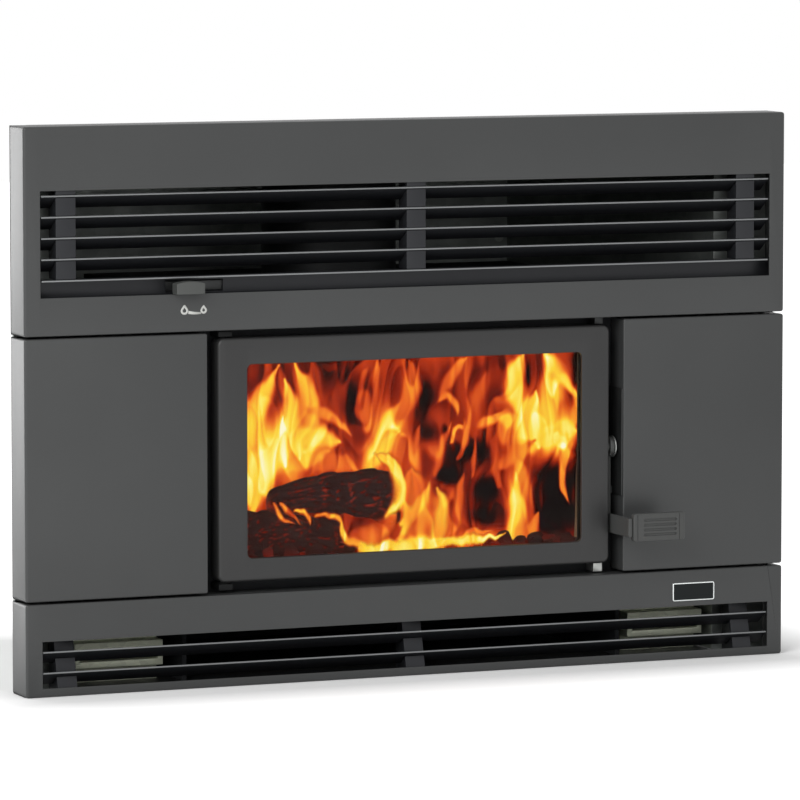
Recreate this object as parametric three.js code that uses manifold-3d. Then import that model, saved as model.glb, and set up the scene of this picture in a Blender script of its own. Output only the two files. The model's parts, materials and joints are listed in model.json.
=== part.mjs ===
// An inset wood fire: folded steel fascia, glazed door, firebox, convection casing and twin blowers.
// Millimetres. x runs to the viewer's right, y to the back, z up. The wall face is the plane y = 0,
// the hearth is z = 0, and x = 0 is the middle of the fascia.
import * as THREE from "three";
import { mergeVertices } from "three/addons/utils/BufferGeometryUtils.js";
import Module from "manifold-3d";

const wasm = await Module();
wasm.setup();

// ---- Driving sizes ----
const FIT = 0.3; // clearance between pieces that bear on each other
const SEAM = 2.5; // gap between fascia panels
const FASCIA_SHEET = 2;
const FASCIA_DEPTH = 45;
const LEFT_PANEL_WIDTH = 208;
const RIGHT_PANEL_WIDTH = 198;
const BOTTOM_PANEL_HEIGHT = 100;

const BADGE_FROM_END = 85.5;
const BADGE_DROP = 14;
const BADGE_LENGTH = 51.5;
const BADGE_HEIGHT = 20.4;
const BADGE_THICKNESS = 1.2;

const DOOR_WIDTH = 465.5;
const DOOR_HEIGHT = 265;
const DOOR_THICKNESS = 22;
const DOOR_SETBACK = 5; // door face behind the fascia face
const DOOR_GAP_LEFT = 14;
const DOOR_GAP_RIGHT = 14.5;
const DOOR_GAP_BELOW = 12.5;
const DOOR_GAP_ABOVE = 9;
const DOOR_CORNER = 8;
const DOOR_STILE = 34; // left and right
const DOOR_TOP_RAIL = 29;
const DOOR_BOTTOM_RAIL = 25;
const GLASS_THICKNESS = 4;
const GLASS_LIP = 3.7; // frame in front of the glass
const GLASS_LAP = 10; // rebate beyond the sight size
const ROPE_WIDTH = 9;
const ROPE_GROOVE = 3;
const ROPE_INSET = 11;

const HINGE_INSET = 10; // pin axis from the door's left edge
const HINGE_DEPTH = 12; // pin axis behind the door's face
const PIN_RADIUS = 4;
const PIN_ENGAGEMENT = 17;
const LUG_WIDTH = 16;

const LEVER_THICKNESS = 5;
const LEVER_STANDOFF = 3; // lever from the door's edge
const LEVER_PIVOT_HEIGHT = 128.5; // above the door's bottom
const LEVER_PIVOT_DEPTH = 13.5; // behind the door's face
const LEVER_BOSS = 11;
const LEVER_ARM = 14;
const STRAP_DROP = 75; // pivot to the top of the strap
const STRAP_HEIGHT = 21;
const STRAP_REACH = 44; // strap in front of the door's face
const GRIP_LENGTH = 63;
const GRIP_HEIGHT = 31;
const GRIP_THICKNESS = 8;
const GRIP_GROOVES = 4;
const NOTCH_DROP = 42; // pivot to the notch for the keeper's tongue
const NOTCH_HEIGHT = 13;
const NOTCH_DEPTH = 8;
const KEEPER_ABOVE = 66; // keeper above the pivot
const KEEPER_BELOW = 54;
const KEEPER_SHEET = 1.5;

const UPPER_BLADES = 4; // the control strip's front flange makes a fifth line one pitch lower
const UPPER_OPENING_TOP = 68.5; // below the top of the fascia
const STRIP_SIGHT = 18.8; // control strip's top down to the upper opening's bottom edge
const TOP_PANEL_BELOW = 41; // top panel under its opening
const OPENING_INSET = 18.5; // louvre openings from the fascia's ends
const BLADE_PITCH = 22.5;
const BLADE_DEPTH = 25;
const BLADE_THICKNESS = 2;
const BLADE_TILT = -33; // degrees, down to the rear
const TOP_BLADE_DROP = 5.2; // below the opening's top edge
const LOWER_BLADES = 2;
const LOWER_OPENING_BOTTOM = 9;
const LOWER_OPENING_HEIGHT = 50.5;
const POST_WIDTH = 22.5;
const POST_FLANGE = 1.5;
const POST_DEPTH = 23;
const POST_INSET = 48;

const STRIP_DEPTH = 16; // control strip behind the fascia face
const STRIP_FLANGE = 14;
const STRIP_MARGIN = 10; // strip's ends from the fascia's ends
const SLOT_LENGTH = 66;
const SLOT_HEIGHT = 13;
const SLOT_FROM_END = 166;
const KNOB_LENGTH = 34;
const KNOB_HEIGHT = 14;
const KNOB_REACH = 28.7;
const STEM_LENGTH = 10;
const BAR_HEIGHT = 10;
const BAR_THICKNESS = 3;
const BAR_OVERRUN = 60; // slide bar past the slot
const SHUTTER_LENGTH = 80;
const SHUTTER_DEPTH = 83;
const SHUTTER_SHEET = 2;
const INLET_SIZE = 35;
const INLET_SETBACK = 10; // inlet behind the wall plane and from the shutter's end

const PLATE = 5; // firebox steel
const FRONT_PLATE_DEPTH = 10; // front plate's face ahead of the wall plane
const FIREBOX_SIDE = 29; // firebox beyond the door's edges
const FIREBOX_DEPTH = 305;
const FIREBOX_FLOOR = 24; // floor plate's underside below the door's bottom
const FIREBOX_ROOF = 43; // roof plate above the door's top
const BRICK = 25;
const BRICK_HEIGHT = 241;
const BAFFLE_SETBACK = 70;
const AIR_TUBE_RADIUS = 10;
const FLUE_RADIUS = 76;
const FLUE_WALL = 3;
const FLUE_HEIGHT = 162;
const FLUE_FROM_BACK = 90; // flue axis ahead of the firebox's back
const FLUE_HOLE = 80;

const CASING_INSET = 65;
const CASING_DEPTH = 400;
const CASING_SHEET = 2;
const CASING_HEADROOM = 50; // casing top below the fascia top
const CORNER_START = 185; // straight part of the casing's sides
const CORNER_CUT = 77; // each side leans in by this much towards the back
const BASE_FRONT = 38; // base plate ahead of the wall plane

const BLOWER_OUTER_MARGIN = 7;
const BLOWER_INNER_MARGIN = 17;
const BLOWER_SETBACK = 10;
const BLOWER_NECK = 20;
const BLOWER_DEPTH = 82;
const BLOWER_HEIGHT = 82;
const MOUTH_BOTTOM = 20;
const MOUTH_HEIGHT = 27.5;
const MOUTH_RIM = 7;
const BLOWER_WALL = 1.5;
const ROTOR_RADIUS = 34;
const ROTOR_VANES = 16;
const SHAFT_RADIUS = 3;

// ---- Places worked out from them ----
const width = LEFT_PANEL_WIDTH + DOOR_GAP_LEFT + DOOR_WIDTH + DOOR_GAP_RIGHT + RIGHT_PANEL_WIDTH;
const left = -width / 2;
const right = width / 2;
const recessLeft = left + LEFT_PANEL_WIDTH;
const doorLeft = recessLeft + DOOR_GAP_LEFT;
const doorRight = doorLeft + DOOR_WIDTH;
const recessRight = doorRight + DOOR_GAP_RIGHT;
const middle = (doorLeft + doorRight) / 2;
const doorBottom = BOTTOM_PANEL_HEIGHT + DOOR_GAP_BELOW;
const doorTop = doorBottom + DOOR_HEIGHT;
const topPanelBottom = doorTop + DOOR_GAP_ABOVE;
const upperLouvreHeight = TOP_BLADE_DROP + UPPER_BLADES * BLADE_PITCH + STRIP_SIGHT;
const height = topPanelBottom + TOP_PANEL_BELOW + upperLouvreHeight + UPPER_OPENING_TOP;
const face = -FASCIA_DEPTH;
const sheetBack = face + FASCIA_SHEET;
const doorFace = face + DOOR_SETBACK;
const doorBack = doorFace + DOOR_THICKNESS;
const plateFace = -FRONT_PLATE_DEPTH;
const plateBack = plateFace + PLATE;
const returnEnd = plateFace - FIT;

const fireLeft = doorLeft - FIREBOX_SIDE;
const fireRight = doorRight + FIREBOX_SIDE;
const floorBottom = doorBottom - FIREBOX_FLOOR;
const floorTop = floorBottom + PLATE;
const roofBottom = doorTop + FIREBOX_ROOF;
const roofTop = roofBottom + PLATE;
const wallFront = plateBack + FIT;
const fireBack = FIREBOX_DEPTH - PLATE;
const flueY = FIREBOX_DEPTH - FLUE_FROM_BACK;

const casingLeft = left + CASING_INSET;
const casingRight = right - CASING_INSET;
const casingTop = height - CASING_HEADROOM;
const backPlane = CASING_DEPTH - CASING_SHEET;

const sight = {
  x0: doorLeft + DOOR_STILE,
  x1: doorRight - DOOR_STILE,
  z0: doorBottom + DOOR_BOTTOM_RAIL,
  z1: doorTop - DOOR_TOP_RAIL,
};
const hinge = { x: doorLeft + HINGE_INSET, y: doorFace + HINGE_DEPTH };
const leverX0 = doorRight + LEVER_STANDOFF;
const leverX1 = leverX0 + LEVER_THICKNESS;
const pivot = { y: doorFace + LEVER_PIVOT_DEPTH, z: doorBottom + LEVER_PIVOT_HEIGHT };

const upperOpening = {
  x0: left + OPENING_INSET,
  x1: right - OPENING_INSET,
  z0: height - UPPER_OPENING_TOP - upperLouvreHeight,
  z1: height - UPPER_OPENING_TOP,
};
const lowerOpening = {
  x0: left + OPENING_INSET,
  x1: right - OPENING_INSET,
  z0: LOWER_OPENING_BOTTOM,
  z1: LOWER_OPENING_BOTTOM + LOWER_OPENING_HEIGHT,
};
const stripFace = face + STRIP_DEPTH;
const stripBottom = upperOpening.z0 - 3.5;
const stripTop = upperOpening.z0 + STRIP_SIGHT;

// ---- Materials ----
const finish = (color, metalness, roughness, more = {}) =>
  new THREE.MeshStandardMaterial({ color, metalness, roughness, ...more });
const charcoal = finish(0x4e5051, 0.6, 0.42);
const doorPaint = finish(0x464748, 0.55, 0.45);
const matBlack = finish(0x121414, 0.3, 0.8);
const galvanised = finish(0x7b7f70, 0.8, 0.45);
const zinc = finish(0xb4b6b2, 0.9, 0.35);
const brick = finish(0xc9b48f, 0, 0.95);
const ropeGrey = finish(0x6a6862, 0, 1);
const ceramicGlass = finish(0x2a1d14, 0, 0.08, { transparent: true, opacity: 0.35 });
const silver = finish(0xb9bcbc, 0.9, 0.3);

// ---- Solids ----
function solid(geometry) {
  const bare = geometry.clone();
  bare.deleteAttribute("normal");
  bare.deleteAttribute("uv");
  const merged = mergeVertices(bare, 1e-4);
  return new wasm.Manifold(
    new wasm.Mesh({
      numProp: 3,
      vertProperties: new Float32Array(merged.attributes.position.array),
      triVerts: new Uint32Array(merged.index.array),
    }),
  );
}

function block(x0, x1, y0, y1, z0, z1) {
  const geometry = new THREE.BoxGeometry(x1 - x0, y1 - y0, z1 - z0);
  geometry.translate((x0 + x1) / 2, (y0 + y1) / 2, (z0 + z1) / 2);
  return solid(geometry);
}

const union = (...pieces) => pieces.reduce((all, piece) => all.add(piece));

// A shape drawn in (y, z) and run along x.
function alongX(shape, x0, x1) {
  const geometry = new THREE.ExtrudeGeometry(shape, {
    depth: x1 - x0,
    bevelEnabled: false,
    curveSegments: 5,
  });
  const axes = new THREE.Matrix4().makeBasis(
    new THREE.Vector3(0, 1, 0),
    new THREE.Vector3(0, 0, 1),
    new THREE.Vector3(1, 0, 0),
  );
  geometry.applyMatrix4(axes);
  geometry.translate(x0, 0, 0);
  return solid(geometry);
}

// A shape drawn in (x, y) and run along z.
function alongZ(shape, z0, z1) {
  const geometry = new THREE.ExtrudeGeometry(shape, {
    depth: z1 - z0,
    bevelEnabled: false,
    curveSegments: 5,
  });
  geometry.translate(0, 0, z0);
  return solid(geometry);
}

// A shape drawn in (x, z) and run along y.
function alongY(shape, y0, y1) {
  const geometry = new THREE.ExtrudeGeometry(shape, {
    depth: y1 - y0,
    bevelEnabled: false,
    curveSegments: 5,
  });
  geometry.rotateX(Math.PI / 2);
  geometry.translate(0, y1, 0);
  return solid(geometry);
}

function polygon(points) {
  return new THREE.Shape(points.map(([u, v]) => new THREE.Vector2(u, v)));
}

function roundedRectangle(u0, u1, v0, v1, radius) {
  const shape = new THREE.Shape();
  shape.moveTo(u0 + radius, v0);
  shape.lineTo(u1 - radius, v0);
  shape.absarc(u1 - radius, v0 + radius, radius, -Math.PI / 2, 0, false);
  shape.lineTo(u1, v1 - radius);
  shape.absarc(u1 - radius, v1 - radius, radius, 0, Math.PI / 2, false);
  shape.lineTo(u0 + radius, v1);
  shape.absarc(u0 + radius, v1 - radius, radius, Math.PI / 2, Math.PI, false);
  shape.lineTo(u0, v0 + radius);
  shape.absarc(u0 + radius, v0 + radius, radius, Math.PI, Math.PI * 1.5, false);
  return shape;
}

// A cylinder on an axis parallel to x, y or z. `at` is the other two coordinates in order.
function rod(axis, at, radius, from, to, sides = 24) {
  const geometry = new THREE.CylinderGeometry(radius, radius, to - from, sides);
  const centre = (from + to) / 2;
  if (axis === "x") geometry.rotateZ(-Math.PI / 2).translate(centre, at[0], at[1]);
  if (axis === "y") geometry.translate(at[0], centre, at[1]);
  if (axis === "z") geometry.rotateX(Math.PI / 2).translate(at[0], at[1], centre);
  return solid(geometry);
}

const insert = new THREE.Group();

function place(name, piece, material) {
  const made = piece.getMesh();
  const geometry = new THREE.BufferGeometry();
  geometry.setAttribute("position", new THREE.BufferAttribute(made.vertProperties, 3));
  geometry.setIndex(new THREE.BufferAttribute(made.triVerts, 1));
  geometry.computeVertexNormals();
  const mesh = new THREE.Mesh(geometry, material);
  mesh.name = name;
  insert.add(mesh);
}

// ---- Fascia: four folded panels ----
// A front sheet with a return on each side. Each return's depth is where its rear edge stands.
function panel(x0, x1, z0, z1, rear, opening) {
  const t = FASCIA_SHEET;
  let front = block(x0, x1, face, sheetBack, z0, z1);
  if (opening) {
    const { x0: ox0, x1: ox1, z0: oz0, z1: oz1 } = opening;
    front = front.subtract(block(ox0, ox1, face - 1, sheetBack + 1, oz0, oz1));
  }
  return union(
    front,
    block(x0, x0 + t, face, rear.left, z0, z1),
    block(x1 - t, x1, face, rear.right, z0, z1),
    block(x0, x1, face, rear.bottom, z0, z0 + t),
    block(x0, x1, face, rear.top, z1 - t, z1),
  );
}

function fascia() {
  const baseEdge = -BASE_FRONT - FIT;
  const sideFold = face + 25;
  const topRear = { left: 0, right: 0, top: 0, bottom: returnEnd };
  const bottomRear = { left: 0, right: 0, top: returnEnd, bottom: baseEdge };
  const leftRear = { left: 0, right: returnEnd, top: sideFold, bottom: sideFold };
  const rightRear = { left: returnEnd, right: 0, top: sideFold, bottom: sideFold };
  const sideBottom = BOTTOM_PANEL_HEIGHT + SEAM;
  const sideTop = topPanelBottom - SEAM;
  place("top_fascia_panel", panel(left, right, topPanelBottom, height, topRear, upperOpening), charcoal);
  place("left_fascia_panel", panel(left, recessLeft, sideBottom, sideTop, leftRear), charcoal);
  place("right_fascia_panel", panel(recessRight, right, sideBottom, sideTop, rightRear), charcoal);
  const bottomPanel = panel(left, right, 0, BOTTOM_PANEL_HEIGHT, bottomRear, lowerOpening);
  place("bottom_fascia_panel", bottomPanel, charcoal);
}

function badge() {
  const x1 = right - BADGE_FROM_END;
  const z1 = BOTTOM_PANEL_HEIGHT - BADGE_DROP;
  const plate = roundedRectangle(x1 - BADGE_LENGTH, x1, z1 - BADGE_HEIGHT, z1, BADGE_THICKNESS);
  place("badge_plate", alongY(plate, face - FIT - BADGE_THICKNESS, face - FIT), silver);
}

// ---- Louvres ----
// A tilted blade's section. `grow` widens it all round, for the notches that it passes through.
function bladeSection(frontZ, grow = 0) {
  const tilt = THREE.MathUtils.degToRad(BLADE_TILT);
  const along = new THREE.Vector2(Math.cos(tilt), Math.sin(tilt));
  const across = new THREE.Vector2(-along.y, along.x);
  const corner = (u, v) =>
    new THREE.Vector2(face + 1, frontZ - BLADE_THICKNESS / 2)
      .addScaledVector(along, u)
      .addScaledVector(across, v);
  return new THREE.Shape([
    corner(-grow, -grow),
    corner(BLADE_DEPTH + grow, -grow),
    corner(BLADE_DEPTH + grow, BLADE_THICKNESS + grow),
    corner(-grow, BLADE_THICKNESS + grow),
  ]);
}

const postCentres = [
  ["left", left + POST_INSET],
  ["centre", 3],
  ["right", right - POST_INSET],
];

function notched(post, x, blades) {
  const half = POST_WIDTH / 2 + 1;
  return blades.reduce(
    (cut, z) => cut.subtract(alongX(bladeSection(z, FIT), x - half, x + half)),
    post,
  );
}

function upperLouvre() {
  const blades = [];
  for (let i = 0; i < UPPER_BLADES; i++) blades.push(upperOpening.z1 - TOP_BLADE_DROP - i * BLADE_PITCH);
  blades.forEach((z, i) => {
    const blade = alongX(bladeSection(z), upperOpening.x0 + 1.5, upperOpening.x1 - 1.5);
    place("upper_louvre_blade_" + (i + 1), blade, charcoal);
  });
  const postFace = sheetBack + FIT;
  const postBottom = stripTop + FIT;
  const postTop = upperOpening.z1 + 10;
  for (const [side, x] of postCentres) {
    const half = POST_WIDTH / 2;
    const outer = block(x - half, x + half, postFace, postFace + POST_DEPTH, postBottom, postTop);
    const hollow = block(
      x - half + POST_FLANGE,
      x + half - POST_FLANGE,
      postFace + POST_FLANGE,
      postFace + POST_DEPTH + 1,
      postBottom - 1,
      postTop + 1,
    );
    place("upper_louvre_post_" + side, notched(outer.subtract(hollow), x, blades), matBlack);
  }
}

function lowerLouvre() {
  const blades = [];
  for (let i = 0; i < LOWER_BLADES; i++) blades.push(lowerOpening.z1 - 11.2 - i * BLADE_PITCH);
  blades.forEach((z, i) => {
    const blade = alongX(bladeSection(z), lowerOpening.x0 + 1, lowerOpening.x1 - 1);
    place("lower_louvre_blade_" + (i + 1), blade, charcoal);
  });
  const postFace = sheetBack + FIT;
  const z0 = FASCIA_SHEET + FIT;
  const z1 = BOTTOM_PANEL_HEIGHT - FASCIA_SHEET - FIT;
  const rear = plateFace - 2;
  const lean = 0.26 * (z1 - z0);
  const side = polygon([[postFace, z0], [rear, z0], [rear, z1], [postFace + lean, z1]]);
  const hollow = polygon([
    [postFace + POST_FLANGE, z0 - 1],
    [rear + 1, z0 - 1],
    [rear + 1, z1 + 1],
    [postFace + POST_FLANGE + lean, z1 + 1],
  ]);
  for (const [name, x] of postCentres) {
    const half = POST_WIDTH / 2;
    const inner = half - POST_FLANGE;
    const post = alongX(side, x - half, x + half).subtract(alongX(hollow, x - inner, x + inner));
    place("lower_louvre_post_" + name, notched(post, x, blades), matBlack);
  }
}

// ---- Control strip and air slide ----
const slot = {
  x0: left + SLOT_FROM_END,
  x1: left + SLOT_FROM_END + SLOT_LENGTH,
  z0: upperOpening.z0 + 1,
};

const slideEnd = slot.x1 + BAR_OVERRUN;
const shutterX = slideEnd - SHUTTER_LENGTH / 2;

function controlStrip() {
  const t = FASCIA_SHEET;
  const x0 = left + STRIP_MARGIN;
  const x1 = right - STRIP_MARGIN;
  const lipFront = sheetBack + FIT;
  const ledge = union(
    block(x0, x1, lipFront, lipFront + t, stripBottom - STRIP_FLANGE, stripBottom + t),
    block(x0, x1, lipFront, stripFace + t, stripBottom, stripBottom + t),
  );
  place("control_ledge", ledge, charcoal);
  const strip = union(
    block(x0, x1, stripFace, stripFace + t, stripBottom + t + FIT, stripTop),
    block(upperOpening.x0 + 1.5, upperOpening.x1 - 1.5, face + 1, stripFace + t, stripTop - t, stripTop),
  );
  const cut = block(slot.x0, slot.x1, stripFace - 1, stripFace + t + 1, slot.z0, slot.z0 + SLOT_HEIGHT);
  place("control_strip", strip.subtract(cut), charcoal);
}

function airSlide() {
  const x0 = slot.x0 + 2;
  const knobBottom = upperOpening.z0 + FIT;
  const knobBack = stripFace - FIT;
  const crown = new THREE.Shape();
  crown.moveTo(knobBack, knobBottom);
  crown.lineTo(knobBack, knobBottom + KNOB_HEIGHT);
  crown.lineTo(knobBack - KNOB_REACH + 6, knobBottom + KNOB_HEIGHT);
  crown.quadraticCurveTo(
    knobBack - KNOB_REACH,
    knobBottom + KNOB_HEIGHT,
    knobBack - KNOB_REACH,
    knobBottom + KNOB_HEIGHT - 6,
  );
  crown.lineTo(knobBack - KNOB_REACH, knobBottom);
  const stemX = x0 + KNOB_LENGTH * 0.35;
  const stemZ = slot.z0 + SLOT_HEIGHT / 2;
  const barFront = stripFace + FASCIA_SHEET + FIT;
  const half = BAR_HEIGHT / 2;
  const stemHalf = half - 1;
  const stem = block(
    stemX,
    stemX + STEM_LENGTH,
    knobBack - FIT,
    barFront - FIT,
    stemZ - stemHalf,
    stemZ + stemHalf,
  );
  place("air_knob", union(alongX(crown, x0, x0 + KNOB_LENGTH), stem), matBlack);

  const barBack = barFront + BAR_THICKNESS;
  const bar = block(slot.x0 - BAR_HEIGHT / 2, slideEnd, barFront, barBack, stemZ - half, stemZ + half);
  place("air_slide_bar", bar, zinc);

  const x1 = shutterX + SHUTTER_LENGTH;
  const y0 = barBack + FIT;
  const z0 = roofTop + 2 * FIT;
  const shutter = union(
    block(shutterX, x1, y0, y0 + SHUTTER_DEPTH, z0, z0 + SHUTTER_SHEET),
    block(shutterX, x1, y0, y0 + SHUTTER_SHEET, z0, stemZ + half),
  );
  place("air_shutter", shutter, zinc);
}

// ---- Casing ----
function casing() {
  const t = CASING_SHEET;
  const z0 = t + FIT;
  const z1 = casingTop - t - FIT;
  const flangeEdge = FASCIA_SHEET + FIT;
  const y1 = backPlane - FIT;
  const lean = CORNER_CUT / (CASING_DEPTH - CORNER_START);
  const leanAt = (y) => lean * Math.max(0, y - CORNER_START);
  const leaningSheet = t * Math.hypot(1, lean);
  const innerCorner = CORNER_START - (leaningSheet - t) / lean;
  const plan = (front) =>
    polygon([
      [casingLeft, front],
      [casingRight, front],
      [casingRight, CORNER_START],
      [casingRight - leanAt(y1), y1],
      [casingLeft + leanAt(y1), y1],
      [casingLeft, CORNER_START],
    ]);
  const sideSheet = (edge, inward) =>
    polygon([
      [edge, -t],
      [edge, CORNER_START],
      [edge + inward * leanAt(y1), y1],
      [edge + inward * (leanAt(y1) + leaningSheet), y1],
      [edge + inward * t, innerCorner],
      [edge + inward * t, -t],
    ]);
  place("base_plate", alongZ(plan(-BASE_FRONT), 0, t), galvanised);
  const leftSide = union(
    alongZ(sideSheet(casingLeft, 1), z0, z1),
    block(left + flangeEdge, casingLeft + t, -t, 0, z0, z1),
  );
  const rightSide = union(
    alongZ(sideSheet(casingRight, -1), z0, z1),
    block(casingRight - t, right - flangeEdge, -t, 0, z0, z1),
  );
  place("casing_left_side", leftSide, galvanised);
  place("casing_right_side", rightSide, galvanised);
  const backLeft = casingLeft + leanAt(CASING_DEPTH);
  const backRight = casingRight - leanAt(CASING_DEPTH);
  place("casing_back", block(backLeft, backRight, backPlane, CASING_DEPTH, 0, casingTop), galvanised);
  const lid = union(
    alongZ(plan(-t), casingTop - t, casingTop),
    block(casingLeft, casingRight, -t, 0, casingTop - t, height - flangeEdge),
  );
  const clearance = rod("z", [middle, flueY], FLUE_HOLE, casingTop - t - 1, casingTop + 1, 32);
  place("casing_top", lid.subtract(clearance), galvanised);
}

// ---- Firebox ----
function firebox() {
  const base = CASING_SHEET + FIT;
  const aperture = roundedRectangle(sight.x0 - 9, sight.x1 + 9, sight.z0 - 3, sight.z1 + 6, 6);
  const plate = block(fireLeft, fireRight, plateFace, plateBack, floorTop, roofTop);
  place("firebox_front_plate", plate.subtract(alongY(aperture, plateFace - 1, plateBack + 1)), matBlack);
  const wallTop = roofBottom - FIT;
  const sideWall = (x) => block(x, x + PLATE, wallFront, fireBack - FIT, base, wallTop);
  place("firebox_left_wall", sideWall(fireLeft), matBlack);
  place("firebox_right_wall", sideWall(fireRight - PLATE), matBlack);
  place("firebox_back_wall", block(fireLeft, fireRight, fireBack, FIREBOX_DEPTH, base, wallTop), matBlack);
  const inLeft = fireLeft + PLATE + FIT;
  const inRight = fireRight - PLATE - FIT;
  const inBack = fireBack - FIT;
  place("firebox_floor_plate", block(inLeft, inRight, wallFront, inBack, floorBottom, floorTop), matBlack);

  const inletX = shutterX + INLET_SETBACK;
  const inlet = block(
    inletX,
    inletX + INLET_SIZE,
    INLET_SETBACK,
    INLET_SETBACK + INLET_SIZE,
    roofBottom - 1,
    roofTop + 1,
  );
  const roof = block(fireLeft, fireRight, wallFront, FIREBOX_DEPTH, roofBottom, roofTop)
    .subtract(rod("z", [middle, flueY], FLUE_RADIUS - FLUE_WALL, roofBottom - 1, roofTop + 1, 32))
    .subtract(inlet);
  place("firebox_roof_plate", roof, matBlack);
  const collarBottom = roofTop + FIT;
  const collarTop = collarBottom + FLUE_HEIGHT;
  const collar = rod("z", [middle, flueY], FLUE_RADIUS, collarBottom, collarTop, 32);
  const bore = rod("z", [middle, flueY], FLUE_RADIUS - FLUE_WALL, collarBottom - 1, collarTop + 1, 32);
  place("flue_spigot", collar.subtract(bore), matBlack);

  const brickBottom = floorTop + FIT;
  const brickTop = brickBottom + BRICK_HEIGHT;
  const backBrick = inBack - BRICK;
  const sideBricks = (x) => block(x, x + BRICK, wallFront + 2, inBack, brickBottom, brickTop);
  place("left_firebrick", sideBricks(inLeft), brick);
  place("right_firebrick", sideBricks(inRight - BRICK), brick);
  const between = [inLeft + BRICK + FIT, inRight - BRICK - FIT];
  place("back_firebrick", block(...between, backBrick, inBack, brickBottom, brickTop), brick);
  const hearth = block(...between, wallFront + 2, backBrick - FIT, brickBottom, brickBottom + BRICK);
  place("floor_firebrick", hearth, brick);
  const baffleBottom = brickTop + FIT;
  const baffle = block(inLeft, inRight, BAFFLE_SETBACK, inBack, baffleBottom, baffleBottom + PLATE);
  place("baffle_plate", baffle, matBlack);
  const tubeAt = [BAFFLE_SETBACK - AIR_TUBE_RADIUS - 5, brickTop + FIT + AIR_TUBE_RADIUS];
  const tube = rod("x", tubeAt, AIR_TUBE_RADIUS, inLeft, inRight, 16).subtract(
    rod("x", tubeAt, AIR_TUBE_RADIUS - 2, inLeft - 1, inRight + 1, 16),
  );
  place("secondary_air_tube", tube, matBlack);
}

// ---- Door ----
function doorLeaf() {
  const outline = roundedRectangle(doorLeft, doorRight, doorBottom, doorTop, DOOR_CORNER);
  const sightHole = roundedRectangle(sight.x0, sight.x1, sight.z0, sight.z1, 6);
  const lap = GLASS_LAP;
  const rebate = block(
    sight.x0 - lap,
    sight.x1 + lap,
    doorFace + GLASS_LIP,
    doorBack + 1,
    sight.z0 - lap,
    sight.z1 + lap,
  );
  const ropeOuter = [
    doorLeft + ROPE_INSET,
    doorRight - ROPE_INSET,
    doorBottom + ROPE_INSET,
    doorTop - ROPE_INSET,
  ];
  const ring = (y0, y1, grow) => {
    const [x0, x1, z0, z1] = ropeOuter;
    const w = ROPE_WIDTH + grow;
    return alongY(roundedRectangle(x0 - grow, x1 + grow, z0 - grow, z1 + grow, 6), y0, y1).subtract(
      block(x0 + w, x1 - w, y0 - 1, y1 + 1, z0 + w, z1 - w),
    );
  };
  const bore = PIN_RADIUS + FIT + 0.1;
  const pinHole = (z0, z1) => rod("z", [hinge.x, hinge.y], bore, z0, z1);
  const frame = alongY(outline, doorFace, doorBack)
    .subtract(alongY(sightHole, doorFace - 1, doorBack + 1))
    .subtract(rebate)
    .subtract(ring(doorBack - ROPE_GROOVE, doorBack + 1, FIT))
    .subtract(pinHole(doorTop - PIN_ENGAGEMENT - 1, doorTop + 1))
    .subtract(pinHole(doorBottom - 1, doorBottom + PIN_ENGAGEMENT + 1))
    .subtract(rod("x", [pivot.y, pivot.z], bore, doorRight - 14, doorRight + 1));
  place("door_frame", frame, doorPaint);

  const g = lap - 0.5;
  const glassFront = doorFace + GLASS_LIP + FIT;
  const glassBack = glassFront + GLASS_THICKNESS;
  const pane = block(sight.x0 - g, sight.x1 + g, glassFront, glassBack, sight.z0 - g, sight.z1 + g);
  place("door_glass", pane, ceramicGlass);
  place("door_rope_seal", ring(doorBack - ROPE_GROOVE + FIT, returnEnd, 0), ropeGrey);

  const bar = (z0, z1) =>
    block(sight.x0 - lap + FIT, sight.x1 + lap - FIT, glassBack + FIT, glassBack + FIT + 2, z0, z1);
  place("glass_retainer_top", bar(sight.z1 + 1, sight.z1 + lap - FIT), matBlack);
  place("glass_retainer_bottom", bar(sight.z0 - lap + FIT, sight.z0 - 1), matBlack);
}

function hinges() {
  const bore = PIN_RADIUS + FIT + 0.1;
  const half = LUG_WIDTH / 2;
  const lug = (z0, z1) =>
    block(hinge.x - half, hinge.x + half, hinge.y - half, returnEnd, z0, z1).subtract(
      rod("z", [hinge.x, hinge.y], bore, z0 - 1, z1 + 1),
    );
  const pin = (z0, z1) => rod("z", [hinge.x, hinge.y], PIN_RADIUS, z0, z1);
  const topLug = [doorTop + 1.5, topPanelBottom - 1.5];
  const bottomLug = [BOTTOM_PANEL_HEIGHT + 3.5, doorBottom - 2];
  place("hinge_lug_top", lug(...topLug), matBlack);
  place("hinge_lug_bottom", lug(...bottomLug), matBlack);
  place("hinge_pin_top", pin(doorTop - PIN_ENGAGEMENT, topLug[1] + 0.8), zinc);
  const thrust = rod("z", [hinge.x, hinge.y], PIN_RADIUS + 3, bottomLug[1] + FIT, doorBottom - FIT);
  place("hinge_pin_bottom", union(pin(bottomLug[0] - 1, doorBottom + PIN_ENGAGEMENT), thrust), zinc);
}

function doorGuides() {
  const x1 = doorRight - 4;
  const z0 = BOTTOM_PANEL_HEIGHT + 1.5;
  const front = doorFace + 10;
  place("door_stop_lug_top", block(x1 - 10, x1, front, returnEnd, doorTop + 0.7, topPanelBottom - 0.5), zinc);
  place("door_stop_lug_bottom", block(x1 - 11, x1, front, returnEnd, z0, doorBottom - 1), zinc);
}

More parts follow.
